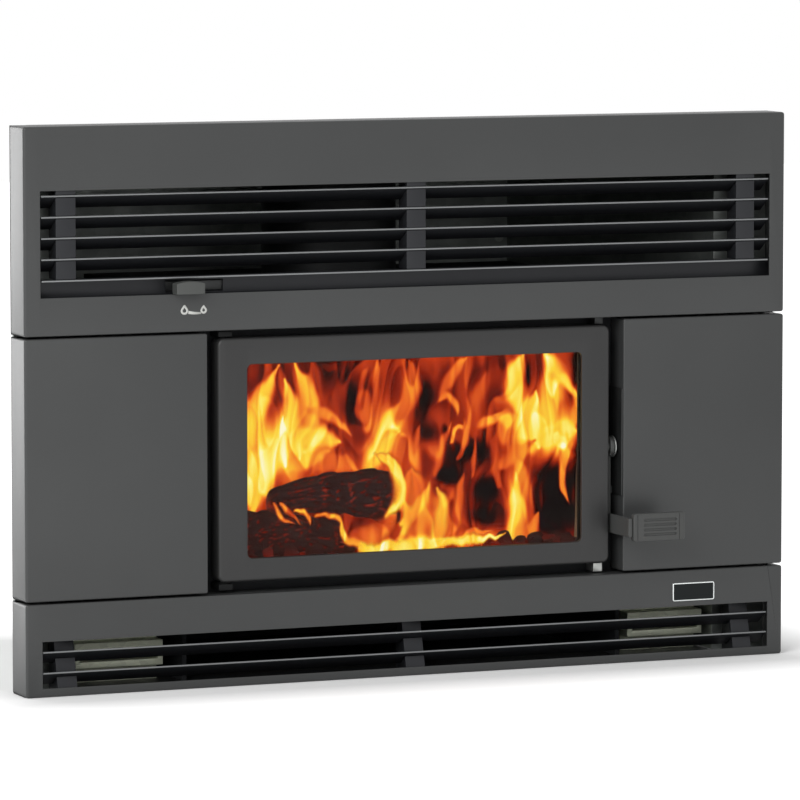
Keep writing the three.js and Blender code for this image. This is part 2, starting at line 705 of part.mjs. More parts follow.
// ---- Latch lever ----
function latch() {
  const armFront = pivot.y - 0.5;
  const armRear = armFront + LEVER_ARM;
  const strapTop = pivot.z - STRAP_DROP;
  const strapFront = doorFace - STRAP_REACH;
  const bore = PIN_RADIUS + FIT + 0.1;
  const notchTop = pivot.z - NOTCH_DROP;
  const notchBottom = notchTop - NOTCH_HEIGHT;
  const lever = union(
    block(leverX0, leverX1, armFront, armRear, strapTop - STRAP_HEIGHT, pivot.z),
    rod("x", [pivot.y, pivot.z], LEVER_BOSS, leverX0, leverX1),
    block(leverX0, leverX1, strapFront, armRear, strapTop - STRAP_HEIGHT, strapTop),
  )
    .subtract(rod("x", [pivot.y, pivot.z], bore, leverX0 - 1, leverX1 + 1))
    .subtract(block(leverX0 - 1, leverX1 + 1, armRear - NOTCH_DEPTH, armRear + 1, notchBottom, notchTop));
  place("handle_lever", lever, matBlack);

  const gripX0 = leverX1 + FIT;
  const gripBack = strapFront + 6;
  const gripFront = gripBack - GRIP_THICKNESS;
  const gripZ = strapTop - STRAP_HEIGHT / 2;
  const gripX1 = gripX0 + GRIP_LENGTH;
  const plate = roundedRectangle(gripX0, gripX1, gripZ - GRIP_HEIGHT / 2, gripZ + GRIP_HEIGHT / 2, 3);
  let grip = alongY(plate, gripFront, gripBack);
  const pitch = GRIP_HEIGHT / (GRIP_GROOVES + 2);
  for (let i = 0; i < GRIP_GROOVES; i++) {
    const z = gripZ + (i - (GRIP_GROOVES - 1) / 2) * pitch;
    grip = grip.subtract(
      block(gripX0 + 12, gripX1 - 11, gripFront - 1, gripFront + 1.2, z - pitch / 4, z + pitch / 4),
    );
  }
  place("handle_grip", grip, matBlack);

  const at = [pivot.y, pivot.z];
  const bolt = union(
    rod("x", at, PIN_RADIUS, doorRight - 13, leverX1 + 1),
    rod("x", at, PIN_RADIUS + 3, doorRight + FIT, leverX0 - FIT),
    rod("x", at, LEVER_BOSS + 1, leverX1 + FIT, leverX1 + 1.8, 32),
    rod("x", at, PIN_RADIUS + 1, leverX1 + 1.5, leverX1 + 3.8, 6),
  );
  place("lever_pivot_bolt", bolt, zinc);

  const keeperX = recessRight - FIT;
  const keeper = union(
    block(
      keeperX - KEEPER_SHEET,
      keeperX,
      face + 1,
      returnEnd,
      pivot.z - KEEPER_BELOW,
      pivot.z + KEEPER_ABOVE,
    ),
    block(leverX0 - 1, keeperX, armRear - NOTCH_DEPTH + 2, returnEnd, notchBottom + 1.5, notchTop - 3),
  );
  place("latch_keeper", keeper, zinc);
}

// ---- Blowers in the bays beside the firebox ----
function blower(side, x0, x1) {
  const z0 = CASING_SHEET + FIT;
  const y0 = BLOWER_SETBACK;
  const yBody = y0 + BLOWER_NECK;
  const y1 = yBody + BLOWER_DEPTH;
  const z1 = z0 + BLOWER_HEIGHT;
  const w = BLOWER_WALL;
  const mouthZ = MOUTH_BOTTOM + MOUTH_RIM;
  const axis = [yBody + BLOWER_DEPTH / 2, z0 + BLOWER_HEIGHT / 2];
  const housing = union(
    block(x0, x1, yBody, y1, z0, z1),
    block(x0, x1, y0, yBody + w, MOUTH_BOTTOM, MOUTH_BOTTOM + MOUTH_HEIGHT),
  )
    .subtract(block(x0 + w, x1 - w, yBody + w, y1 - w, z0 + w, z1 + 1))
    .subtract(block(x0 + 6, x1 - 6, y0 - 1, yBody + w + 1, mouthZ, mouthZ + MOUTH_HEIGHT - 2 * MOUTH_RIM))
    .subtract(rod("x", axis, SHAFT_RADIUS + 0.4, x0 - 1, x1 + 1, 16));
  place(side + "_blower_housing", housing, galvanised);

  const outline = [];
  for (let i = 0; i < ROTOR_VANES * 2; i++) {
    const angle = (i * Math.PI) / ROTOR_VANES;
    const r = i % 2 ? ROTOR_RADIUS * 0.86 : ROTOR_RADIUS;
    outline.push([axis[0] + r * Math.cos(angle), axis[1] + r * Math.sin(angle)]);
  }
  const drum = alongX(polygon(outline), x0 + w + 3, x1 - w - 3);
  place(side + "_blower_rotor", union(drum, rod("x", axis, SHAFT_RADIUS, x0, x1, 16)), galvanised);
}

fascia();
badge();
upperLouvre();
lowerLouvre();
controlStrip();
airSlide();
casing();
firebox();
doorLeaf();
hinges();
doorGuides();
latch();
blower("left", casingLeft + CASING_SHEET + BLOWER_OUTER_MARGIN, fireLeft - BLOWER_INNER_MARGIN);
blower("right", fireRight + BLOWER_INNER_MARGIN, casingRight - CASING_SHEET - BLOWER_OUTER_MARGIN);

export default insert;
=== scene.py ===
"""The finished look of an inset wood fire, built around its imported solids."""

import json
import math

import bmesh
import bpy
import numpy as np
from mathutils import Matrix, Vector


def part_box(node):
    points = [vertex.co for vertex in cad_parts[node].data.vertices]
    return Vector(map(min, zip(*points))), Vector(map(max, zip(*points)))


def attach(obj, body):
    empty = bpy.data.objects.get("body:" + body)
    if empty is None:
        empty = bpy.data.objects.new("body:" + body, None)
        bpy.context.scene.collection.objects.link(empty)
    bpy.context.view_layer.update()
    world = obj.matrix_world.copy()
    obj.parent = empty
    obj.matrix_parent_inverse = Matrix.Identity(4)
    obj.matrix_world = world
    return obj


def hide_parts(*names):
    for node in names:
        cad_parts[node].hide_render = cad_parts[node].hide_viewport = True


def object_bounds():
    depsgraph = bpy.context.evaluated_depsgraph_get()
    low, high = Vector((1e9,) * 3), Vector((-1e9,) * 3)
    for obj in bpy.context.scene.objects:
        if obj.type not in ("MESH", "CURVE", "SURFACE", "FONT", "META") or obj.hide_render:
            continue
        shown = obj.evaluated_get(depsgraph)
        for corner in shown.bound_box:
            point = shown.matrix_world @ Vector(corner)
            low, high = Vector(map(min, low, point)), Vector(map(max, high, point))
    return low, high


bl_info = {
    "name": "Inset wood fire",
    "version": (1, 0, 0),
    "blender": (4, 5, 0),
    "location": "3D View > Sidebar > Inset fire",
    "description": "Builds the finishes, the fire and the small parts of an inset wood fire",
    "category": "Object",
}

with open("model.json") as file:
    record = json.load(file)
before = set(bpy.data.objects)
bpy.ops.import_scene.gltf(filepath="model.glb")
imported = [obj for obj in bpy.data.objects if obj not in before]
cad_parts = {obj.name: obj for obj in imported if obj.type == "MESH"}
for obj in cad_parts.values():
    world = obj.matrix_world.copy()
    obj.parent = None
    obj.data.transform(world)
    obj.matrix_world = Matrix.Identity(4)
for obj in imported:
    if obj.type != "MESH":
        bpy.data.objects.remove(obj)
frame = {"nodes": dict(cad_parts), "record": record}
CAD_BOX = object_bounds()
NODES = frame["nodes"]
BODY_OF = {n: b for b, ns in frame["record"]["behaviour"]["bodies"].items() for n in ns}
SHARP = math.radians(35)  # faces that meet at more than this have an edge
FLAT = 0.01  # faces that meet at less than this are one flat part
SAME = 1e-4  # points nearer than this to a plane lie in it
DOUBLE = 1e-5  # points nearer than this are one point


def linear(code):
    """A hex sRGB colour as linear red, green, blue and alpha."""
    parts = [int(code[i : i + 2], 16) / 255 for i in (1, 3, 5)]
    return tuple(c / 12.92 if c <= 0.04045 else ((c + 0.055) / 1.055) ** 2.4 for c in parts) + (1.0,)


# ---- Settings ----
def colour(name, code, what):
    return bpy.props.FloatVectorProperty(
        name=name, description=what, subtype="COLOR", size=4, min=0, max=1, default=linear(code)
    )


def number(name, value, what, **more):
    return bpy.props.FloatProperty(name=name, description=what, min=0, default=value, **more)


def length(name, metres, what):
    return number(name, metres, what, subtype="DISTANCE", unit="LENGTH")


def share(name, value, what):
    return number(name, value, what, subtype="FACTOR", max=1)


def power(name, watts, what):
    return number(name, watts, what, subtype="POWER", unit="POWER")


def points_along(name, value, least, what):
    return bpy.props.IntProperty(name=name, description=what, min=least, default=value)


class PaintSettings(bpy.types.PropertyGroup):
    panel: colour("Panels", "#434444", "Paint of the fascia panels")
    door: colour("Door", "#373737", "Paint of the door frame")
    black: colour("Black", "#2A2B2C", "Heat-proof paint of the flue collar")
    grip: colour("Grip", "#434443", "Moulded grip and its lever")
    gloss: share("Roughness", 0.42, "Roughness of the satin paint")
    flake: share("Metal flake", 0.3, "How metallic the satin paint is")
    mark: colour("Printed mark", "#C9CAC6", "Ink of the printed mark")
    badge: colour("Badge field", "#060D0E", "Enamel of the blank badge")


class SheetSettings(bpy.types.PropertyGroup):
    outer_bend: length("Outer bend", 0.003, "Radius of the fascia's outer folds")
    inner_bend: length("Inner bend", 0.0018, "Radius of the folds round the recess")
    cut_edge: length("Cut edge", 0.00045, "Wear on the edges of cut sheet")
    door_edge: length("Door edge", 0.0035, "Radius round the door's front")


class FireSettings(bpy.types.PropertyGroup):
    curtain_depth: length("Curtain depth", 0.056, "Curtain of flame behind the wall face")
    columns: points_along("Columns", 430, 50, "Points across the curtain of flame")
    rows: points_along("Rows", 208, 30, "Points up the curtain of flame")
    glow: number("Glow", 1.0, "Strength of the flames' light")
    char: colour("Charred wood", "#0D0605", "Skin of the burning logs")
    brick: colour("Firebrick", "#B79B78", "Lining of the firebox")


class StageSettings(bpy.types.PropertyGroup):
    sky: number("Sky light", 0.60, "Strength of the light from all round")
    key: power("Key lamp", 84, "Power of the large lamp")
    side: power("Side lamp", 42, "Power of the lamp at the left")
    floor: colour("Floor", "#F4F4F4", "Floor and backdrop")


# ---- Materials ----
COORDS, NOISE, CELLS = "ShaderNodeTexCoord", "ShaderNodeTexNoise", "ShaderNodeTexVoronoi"
RANGE, TINT, BUMP, MATHS = "ShaderNodeMapRange", "ShaderNodeHueSaturation", "ShaderNodeBump", "ShaderNodeMath"
VALUE, VECTOR = "ShaderNodeAttribute", "ShaderNodeVectorMath"
MOST = {"From Min": 0.3, "From Max": 0.7}  # nearly all of a noise lies between these


def add(tree, kind, inputs=None, **settings):
    """Adds a node with its settings, and sets or links its inputs; a node links by its first output."""
    node = tree.nodes.new(kind)
    for key, value in settings.items():
        setattr(node, key, value)
    for key, value in (inputs or {}).items():
        if isinstance(value, bpy.types.Node):
            value = value.outputs[0]
        if isinstance(value, bpy.types.NodeSocket):
            tree.links.new(value, node.inputs[key])
        else:
            node.inputs[key].default_value = value
    return node


def blank_material(name):
    """A material and its empty tree."""
    material = bpy.data.materials.new(name)
    material.use_nodes = True
    material.node_tree.nodes.clear()
    return material, material.node_tree


def with_surface(material, inputs):
    """The material, ended by its surface."""
    tree = material.node_tree
    add(tree, "ShaderNodeOutputMaterial", {"Surface": add(tree, "ShaderNodeBsdfPrincipled", inputs)})
    return material


def satin_paint(name, tone, rough, flake, specular=0.35, cloud=0.06, orange_peel=0.10):
    """Sprayed, baked paint: a dull sheen, a faint cloud in its tone, a fine grain, and flake."""
    # Clouds are 200 mm across and the orange peel 4 mm. The grain is 0.7 mm, coarser than the real one.
    material, tree = blank_material(name)
    place = add(tree, COORDS).outputs["Object"]
    clouds = add(tree, NOISE, {"Vector": place, "Scale": 5, "Detail": 3})
    grain = add(tree, NOISE, {"Vector": place, "Scale": 1500, "Detail": 2})
    peel = add(tree, NOISE, {"Vector": place, "Scale": 260, "Detail": 1})
    level = add(tree, RANGE, {**MOST, "Value": clouds, "To Min": 1 - cloud, "To Max": 1 + cloud})
    sheen = add(tree, RANGE, {**MOST, "Value": grain, "To Min": rough - 0.05, "To Max": rough + 0.05})
    height = add(tree, MATHS, {0: grain, 1: peel}, operation="ADD")
    inputs = {
        "Base Color": add(tree, TINT, {"Color": tone, "Value": level}),
        "Metallic": flake,
        "Roughness": sheen,
        "Specular IOR Level": specular,
        "Normal": add(tree, BUMP, {"Height": height, "Strength": orange_peel, "Distance": 0.0002}),
    }
    return with_surface(material, inputs)


def bare_metal(name, tone, rough, spangle=0.0, scale=120.0):
    """Plated or galvanised steel: a soft shine, broken by the crystals of its zinc where it has them."""
    # The crystals are 3 mm across on plate and 11 to 14 mm on galvanised sheet, and the smears 25 mm.
    material, tree = blank_material(name)
    place = add(tree, COORDS).outputs["Object"]
    crystals = add(tree, CELLS, {"Vector": place, "Scale": scale}).outputs["Color"]
    smear = add(tree, NOISE, {"Vector": place, "Scale": 40, "Detail": 4})
    level = add(tree, RANGE, {"Value": crystals, "To Min": 1 - spangle, "To Max": 1 + spangle})
    sheen = add(tree, RANGE, {**MOST, "Value": smear, "To Min": rough - 0.08, "To Max": rough + 0.08})
    inputs = {
        "Base Color": add(tree, TINT, {"Color": tone, "Value": level}),
        "Metallic": 0.85,
        "Roughness": sheen,
        "Normal": add(tree, BUMP, {"Height": smear, "Strength": 0.05, "Distance": 0.0003}),
    }
    return with_surface(material, inputs)


def clear_glass(name):
    """Heat-proof glass: clear, faintly warm, with a weak reflection and a trace of haze."""
    # The haze lies in patches of 33 mm.
    material, tree = blank_material(name)
    place = add(tree, COORDS).outputs["Object"]
    haze = add(tree, NOISE, {"Vector": place, "Scale": 30, "Detail": 3})
    inputs = {
        "Base Color": linear("#FBFAF6"),
        "Roughness": add(tree, RANGE, {**MOST, "Value": haze, "To Min": 0.0, "To Max": 0.012}),
        "IOR": 1.12,
        "Specular IOR Level": 0.3,
        "Transmission Weight": 1.0,
    }
    return with_surface(material, inputs)


def fire_clay(name, tone):
    """Pressed firebrick: dull and sandy, pitted, and sooted in patches."""
    # Soot lies in patches of 110 mm, the pits are 6 mm apart and the sand is 1.4 mm.
    material, tree = blank_material(name)
    place = add(tree, COORDS).outputs["Object"]
    soot = add(tree, NOISE, {"Vector": place, "Scale": 9, "Detail": 5})
    sand = add(tree, NOISE, {"Vector": place, "Scale": 700, "Detail": 3})
    pits = add(tree, CELLS, {"Vector": place, "Scale": 160})
    level = add(tree, RANGE, {**MOST, "Value": soot, "To Min": 0.25, "To Max": 1.05})
    height = add(tree, MATHS, {0: sand, 1: pits}, operation="ADD")
    inputs = {
        "Base Color": add(tree, TINT, {"Color": tone, "Value": level}),
        "Roughness": add(tree, RANGE, {**MOST, "Value": sand, "To Min": 0.88, "To Max": 1.0}),
        "Specular IOR Level": 0.2,
        "Normal": add(tree, BUMP, {"Height": height, "Strength": 0.6, "Distance": 0.0012}),
    }
    return with_surface(material, inputs)


def braided_fibre(name):
    """Knitted glass-fibre rope: matt, ridged, and grey with soot."""
    # The rows of knitting are 1.8 mm apart.
    material, tree = blank_material(name)
    place = add(tree, COORDS).outputs["Object"]
    knit = add(tree, "ShaderNodeTexWave", {"Vector": place, "Scale": 170, "Distortion": 3.0}).outputs["Fac"]
    level = add(tree, RANGE, {"Value": knit, "To Min": 0.5, "To Max": 1.1})
    inputs = {
        "Base Color": add(tree, TINT, {"Color": linear("#4A4743"), "Value": level}),
        "Roughness": add(tree, RANGE, {"Value": knit, "To Min": 0.85, "To Max": 0.98}),
        "Normal": add(tree, BUMP, {"Height": knit, "Strength": 0.7, "Distance": 0.0006}),
    }
    return with_surface(material, inputs)


HEAT_COLOURS = (  # heat, and the colour that it gives
    (0.0, "#080202"),
    (0.15, "#2A0703"),
    (0.3, "#7A1605"),
    (0.45, "#BE380E"),
    (0.58, "#E8661E"),
    (0.72, "#F99C2B"),
    (0.86, "#FFD63C"),
    (0.96, "#FFF07A"),
    (1.05, "#FFFBD8"),
)
HOTTEST = HEAT_COLOURS[-1][0]


def heat_colour(tree):
    """The colour of each point's heat, from black through red and orange to near white."""
    heat = add(tree, VALUE, attribute_name="warmth").outputs["Fac"]
    along = add(tree, MATHS, {0: heat, 1: HOTTEST}, operation="DIVIDE")
    ramp = add(tree, "ShaderNodeValToRGB", {"Fac": along})
    stops = ramp.color_ramp.elements
    while len(stops) < len(HEAT_COLOURS):
        stops.new(0.5)
    for stop, (place, code) in zip(stops, HEAT_COLOURS):
        stop.position = place / HOTTEST
        stop.color = linear(code)
    return ramp


def flame(name, glow, see_through=False):
    """Burning gas: it shines by its own heat and takes no light, and its thin places are see-through."""
    material, tree = blank_material(name)
    inputs = {
        "Base Color": linear("#000000"),
        "Roughness": 1.0,
        "Specular IOR Level": 0.0,
        "Emission Color": heat_colour(tree),
        "Emission Strength": glow,
    }
    if see_through:
        inputs["Alpha"] = add(tree, VALUE, attribute_name="cover").outputs["Fac"]
    return with_surface(material, inputs)


def burning_wood(name, tone, glow):
    """Charred wood: dull black, cracked along its length, with a glow where it is hot."""
    # The grain is 9 mm long and 3 mm across, and the ash lies in patches of 17 mm.
    material, tree = blank_material(name)
    place = add(tree, COORDS).outputs["Object"]
    along = add(tree, "ShaderNodeMapping", {"Vector": place, "Scale": (1, 3, 3)})
    grain = add(tree, NOISE, {"Vector": along, "Scale": 110, "Detail": 5, "Roughness": 0.65})
    ash = add(tree, NOISE, {"Vector": place, "Scale": 60, "Detail": 4})
    level = add(tree, RANGE, {**MOST, "Value": grain, "To Min": 0.4, "To Max": 1.6})
    inputs = {
        "Base Color": add(tree, TINT, {"Color": tone, "Value": level}),
        "Roughness": add(tree, RANGE, {**MOST, "Value": ash, "To Min": 0.75, "To Max": 0.98}),
        "Specular IOR Level": 0.15,
        "Emission Color": heat_colour(tree),
        "Emission Strength": glow,
        "Normal": add(tree, BUMP, {"Height": grain, "Strength": 0.8, "Distance": 0.002}),
    }
    return with_surface(material, inputs)


FINISHES = {}


def finish(name):
    """One of the object's finishes, made once."""
    if not FINISHES:
        paint = bpy.context.scene.insert_paint
        fire = bpy.context.scene.insert_fire
        FINISHES.update(
            panel=satin_paint("panel paint", paint.panel, paint.gloss, paint.flake),
            door=satin_paint("door paint", paint.door, paint.gloss, paint.flake),
            # The blades share the panels' charcoal paint, darkened here as painted shade for their shaded
            # undersides.
            blade=satin_paint("blade paint darkened as painted shade", linear("#1A1B1E"), 0.5, 0.2, 0.3),
            # Paint lightened as a painted highlight, for the bright front edges of the blades and the front
            # of the control strip.
            lip=satin_paint("paint lightened as painted highlight", linear("#7C7E7F"), 0.36, 0.5, 0.5),
            knob=satin_paint("moulded knob", linear("#434543"), 0.45, 0.0, 0.5, 0.05, 0.2),
            strip=satin_paint("strip paint", linear("#26272A"), 0.42, 0.3),
            black=satin_paint("heat-proof black", paint.black, 0.5, 0.2),
            grip=satin_paint("moulded grip", paint.grip, 0.5, 0.0, 0.4, 0.03, 0.2),
            inside=satin_paint("dark inside", linear("#242527"), 0.6, 0.1, 0.2),
            # Black darkened past the paint and plate of the hinge lugs and pins, as painted shade for the
            # shadow they sit in.
            hinge=satin_paint("hinge black darkened as painted shade", linear("#0F1010"), 0.6, 0.1, 0.2),
            zinc=bare_metal("zinc plate", linear("#A9ABA8"), 0.34, 0.04, 300),
            # Zinc plate darkened as painted shade, for zinc and galvanised parts that sit in shadow.
            dull_zinc=bare_metal("zinc darkened as painted shade", linear("#3E3F3F"), 0.5, 0.04, 300),
            # Galvanised sheet lightened far past the casing's, as painted light on the blower housings, which
            # sit in the fascia's shade.
            galvanised=bare_metal("galvanised sheet lightened as painted light", linear("#E2E6D2"), 0.58, 0.10, 90),
            casing=bare_metal("galvanised casing", linear("#8B8F8C"), 0.45, 0.10, 70),
            silver=bare_metal("silver trim", linear("#D9DDDC"), 0.25),
            glass=clear_glass("door glass"),
            brick=fire_clay("firebrick", fire.brick),
            rope=braided_fibre("rope seal"),
            mark=satin_paint("printed ink", paint.mark, 0.6, 0.0, 0.2, 0.02, 0.05),
            badge=satin_paint("badge enamel", paint.badge, 0.4, 0.0, 0.2, 0.1, 0.02),
            flame=flame("flame", fire.glow),
            tongue=flame("flame tongue", fire.glow, True),
            wood=burning_wood("charred log", fire.char, fire.glow),
            ember=burning_wood("ember", linear("#140A08"), fire.glow),
        )
    return FINISHES[name]


# ---- Pieces ----
def piece_of(name, mesh, material):
    """An object at the origin that holds a mesh."""
    data = bpy.data.meshes.new(name)
    if isinstance(mesh, bmesh.types.BMesh):
        mesh.to_mesh(data)
        mesh.free()
    else:
        data.from_pydata(*mesh)
    data.materials.append(material)
    data.shade_smooth()
    piece = bpy.data.objects.new(name, data)
    bpy.context.scene.collection.objects.link(piece)
    return piece


def settle(piece, slot, *nodes, body=None):
    """Makes a piece ride on its body, and stand for the solids that it replaces."""
    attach(piece, body or BODY_OF[nodes[0]])
    if nodes:
        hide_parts(*nodes)


def second_finish(piece, name, chosen):
    """Gives another finish to the faces that a test chooses."""
    piece.data.materials.append(finish(name))
    for face in piece.data.polygons:
        if chosen(face):
            face.material_index = 1


def put_values(piece, label, values):
    """Keeps a number with a name at each point of a piece."""
    layer = piece.data.attributes.new(label, "FLOAT", "POINT")
    layer.data.foreach_set("value", np.ascontiguousarray(values, dtype=np.float32).ravel())


def round_edges(piece, width, segments, harden=True):
    """Rounds all sharp edges alike."""
    bevel = piece.modifiers.new("edges", "BEVEL")
    bevel.width, bevel.segments, bevel.angle_limit = width, segments, SHARP
    bevel.harden_normals = harden


def take_shape(piece):
    """Turns what an object's modifiers show into its own mesh, and removes them."""
    bpy.context.view_layer.update()
    evaluated = piece.evaluated_get(bpy.context.evaluated_depsgraph_get())
    data = bpy.data.meshes.new_from_object(evaluated)
    piece.modifiers.clear()
    piece.data = data


def flat_parts(mesh):
    """The faces of each flat part of a mesh."""
    left, parts = set(mesh.faces), []
    while left:
        queue = [left.pop()]
        part = []
        while queue:
            face = queue.pop()
            part.append(face)
            for edge in face.edges:
                if len(edge.link_faces) == 2 and edge.calc_face_angle(1) < FLAT:
                    for other in edge.link_faces:
                        if other in left:
                            left.remove(other)
                            queue.append(other)
        parts.append(part)
    return parts


def rims(part):
    """The points of each closed loop round a flat part."""
    inside = set(part)
    neighbours = {}
    for face in part:
        for edge in face.edges:
            if sum(f in inside for f in edge.link_faces) == 1:
                a, b = edge.verts
                neighbours.setdefault(a, set()).add(b)
                neighbours.setdefault(b, set()).add(a)
    loops = []
    while neighbours:
        queue = [next(iter(neighbours))]
        loop = set()
        while queue:
            vert = queue.pop()
            if vert in neighbours:
                loop.add(vert)
                queue += neighbours.pop(vert)
        loops.append(np.array([v.co for v in loop]))
    return loops


def merged(node):
    """A solid's mesh with its doubles merged and its flat parts joined into plain polygons.

    A flat part with a hole is first cut across at the hole's ends, because no polygon has a hole.
    """
    mesh = bmesh.new()
    mesh.from_mesh(NODES[node].data)
    bmesh.ops.remove_doubles(mesh, verts=mesh.verts, dist=DOUBLE)
    cuts = set()
    for part in flat_parts(mesh):
        loops = rims(part)
        if len(loops) > 1:
            spans = [np.ptp(loop, axis=0) for loop in loops]
            outer = max(range(len(loops)), key=lambda i: spans[i].max())
            axis = int(np.argmax(spans[outer]))
            for i, loop in enumerate(loops):
                if i != outer:
                    cuts |= {(axis, round(float(v), 5)) for v in (loop[:, axis].min(), loop[:, axis].max())}
    for axis, value in sorted(cuts):
        normal = Vector([float(i == axis) for i in range(3)])
        cut = bmesh.ops.bisect_plane(
            mesh,
            geom=mesh.verts[:] + mesh.edges[:] + mesh.faces[:],
            dist=1e-6,
            plane_co=normal * value,
            plane_no=normal,
        )
        for part in cut["geom_cut"]:
            if isinstance(part, bmesh.types.BMEdge):
                part.seam = True
    bmesh.ops.dissolve_limit(mesh, angle_limit=FLAT, verts=mesh.verts, edges=mesh.edges, delimit={"SEAM"})
    return mesh


def breadth(part):
    """A flat part's second longest side: the sheet's thickness where it is a cut edge."""
    points = np.array([v.co for face in part for v in face.verts])
    return sorted(np.ptp(points, axis=0))[1]


def fold_rule(outer, inner, cut):
    """Wide faces meet in a bend, wider round the outside of the fascia; the rest are cut edges."""
    low, high = CAD_BOX
    narrow = 0.005  # a breadth below this is the thickness of a sheet

    def on_rim(vert):
        at = vert.co
        return abs(at.x - low.x) < SAME or abs(at.x - high.x) < SAME or abs(at.z - high.z) < SAME

    def radius(edge, narrowest):
        if narrowest < narrow or not edge.is_convex:
            return cut
        return outer if all(map(on_rim, edge.verts)) else inner

    return radius


def soften(node, material, slot, rule, segments=3):
    """A solid's shape in a finish, with its sharp edges rounded by a rule, or all by one radius in metres."""
    mesh = merged(node)
    weights = mesh.edges.layers.float.new("bevel_weight_edge")
    breadths = {face: size for part in flat_parts(mesh) for size in [breadth(part)] for face in part}
    edges = [e for e in mesh.edges if len(e.link_faces) == 2 and e.calc_face_angle(0) > SHARP]
    radii = [rule(e, min(breadths[f] for f in e.link_faces)) if callable(rule) else rule for e in edges]
    widest = max(radii)
    for edge, radius in zip(edges, radii):
        edge[weights] = radius / widest
    piece = piece_of(node + ".finished", mesh, finish(material))
    bevel = piece.modifiers.new("edges", "BEVEL")
    bevel.limit_method = "WEIGHT"
    bevel.width, bevel.segments = widest, segments
    bevel.harden_normals = True
    bevel.use_clamp_overlap = False
    settle(piece, slot, node)
    return piece


def box_mesh(low, high):
    """A closed box between two corners."""
    mesh = bmesh.new()
    bmesh.ops.create_cube(mesh, size=1)
    low, high = Vector(low), Vector(high)
    for vert in mesh.verts:
        vert.co = [(vert.co[i] + 0.5) * (high[i] - low[i]) + low[i] for i in range(3)]
    return mesh


def rounded_loop(x0, x1, z0, z1, radius, steps=6):
    """Points round a rectangle with rounded corners, in X and Z."""
    points = []
    for cx, cz, start in ((x1, z1, 0), (x0, z1, 90), (x0, z0, 180), (x1, z0, 270)):
        ox = cx - math.copysign(radius, cx - (x0 + x1) / 2)
        oz = cz - math.copysign(radius, cz - (z0 + z1) / 2)
        for i in range(steps + 1):
            a = math.radians(start + 90 * i / steps)
            points.append((ox + radius * math.cos(a), oz + radius * math.sin(a)))
    return points


def inset_loop(low, high, inset, radius, steps=6):
    """A rounded loop just inside the front of a box."""
    return rounded_loop(low.x + inset, high.x - inset, low.z + inset, high.z - inset, radius, steps)


def plate_between(mesh, loops):
    """Closed strips through loops of (points, y), all of one count; the first and last are capped."""
    rings = [[mesh.verts.new((x, y, z)) for x, z in points] for points, y in loops]
    for a, b in zip(rings, rings[1:]):
        for i in range(len(a)):
            mesh.faces.new((a[i - 1], a[i], b[i], b[i - 1]))
    mesh.faces.new(rings[0])
    mesh.faces.new(rings[-1][::-1])
    bmesh.ops.recalc_face_normals(mesh, faces=mesh.faces)
    return mesh


def tube_faces(rings, size, closed=True):
    """Quads between rings of points; a closed tube also joins its last ring to its first."""
    quads = []
    for i in range(rings if closed else rings - 1):
        j = (i + 1) % rings
        for k in range(size):
            m = (k + 1) % size
            quads.append((i * size + k, i * size + m, j * size + m, j * size + k))
    return quads


def swept(points, profile):
    """A closed tube: a profile (a function of the step) carried round points in X and Z."""
    verts = []
    for i, (x, z) in enumerate(points):
        nx, nz = points[(i + 1) % len(points)]
        px, pz = points[i - 1]
        along = Vector((nx - px, 0, nz - pz)).normalized()
        out = Vector((along.z, 0, -along.x))
        verts += [Vector((x, 0, z)) + out * u + Vector((0, v, 0)) for u, v in profile(i)]
    return verts, [], tube_faces(len(points), len(profile(0)))


# ---- Repeated parts, by Geometry Nodes ----
LINE, HEAD, COPY = "GeometryNodeMeshLine", "GeometryNodeMeshCylinder", "GeometryNodeInstanceOnPoints"
MOVE = "GeometryNodeTransform"


def tree_with(name, **inputs):
    """A Geometry Nodes tree, and the outputs of its input node: named inputs of each kind, and a material."""
    tree = bpy.data.node_groups.new(name, "GeometryNodeTree")
    tree.interface.new_socket("Geometry", in_out="OUTPUT", socket_type="NodeSocketGeometry")
    for kind, labels in {**inputs, "Material": ("Material",)}.items():
        for label in labels:
            tree.interface.new_socket(label, in_out="INPUT", socket_type="NodeSocket" + kind)
    return tree, add(tree, "NodeGroupInput").outputs


def close_tree(tree, given, geometry):
    """Ends a tree with plain meshes in its material."""
    real = add(tree, "GeometryNodeRealizeInstances", {"Geometry": geometry})
    coated = add(tree, "GeometryNodeSetMaterial", {"Geometry": real, "Material": given["Material"]})
    add(tree, "NodeGroupOutput", {"Geometry": coated})
    return tree


def grow(name, tree, material, values):
    """A mesh grown by a tree from its named values, in an object at the origin."""
    piece = bpy.data.objects.new(name, bpy.data.meshes.new(name))
    bpy.context.scene.collection.objects.link(piece)
    modifier = piece.modifiers.new("nodes", "NODES")
    modifier.node_group = tree
    sockets = {s.name: s.identifier for s in tree.interface.items_tree if s.in_out == "INPUT"}
    for label, value in {**values, "Material": finish(material)}.items():
        modifier[sockets[label]] = value
    take_shape(piece)
    piece.data.name = name
    piece.data.materials.clear()
    piece.data.materials.append(finish(material))
    piece.data.shade_smooth()
    piece.data.set_sharp_from_angle(angle=SHARP)
    return piece


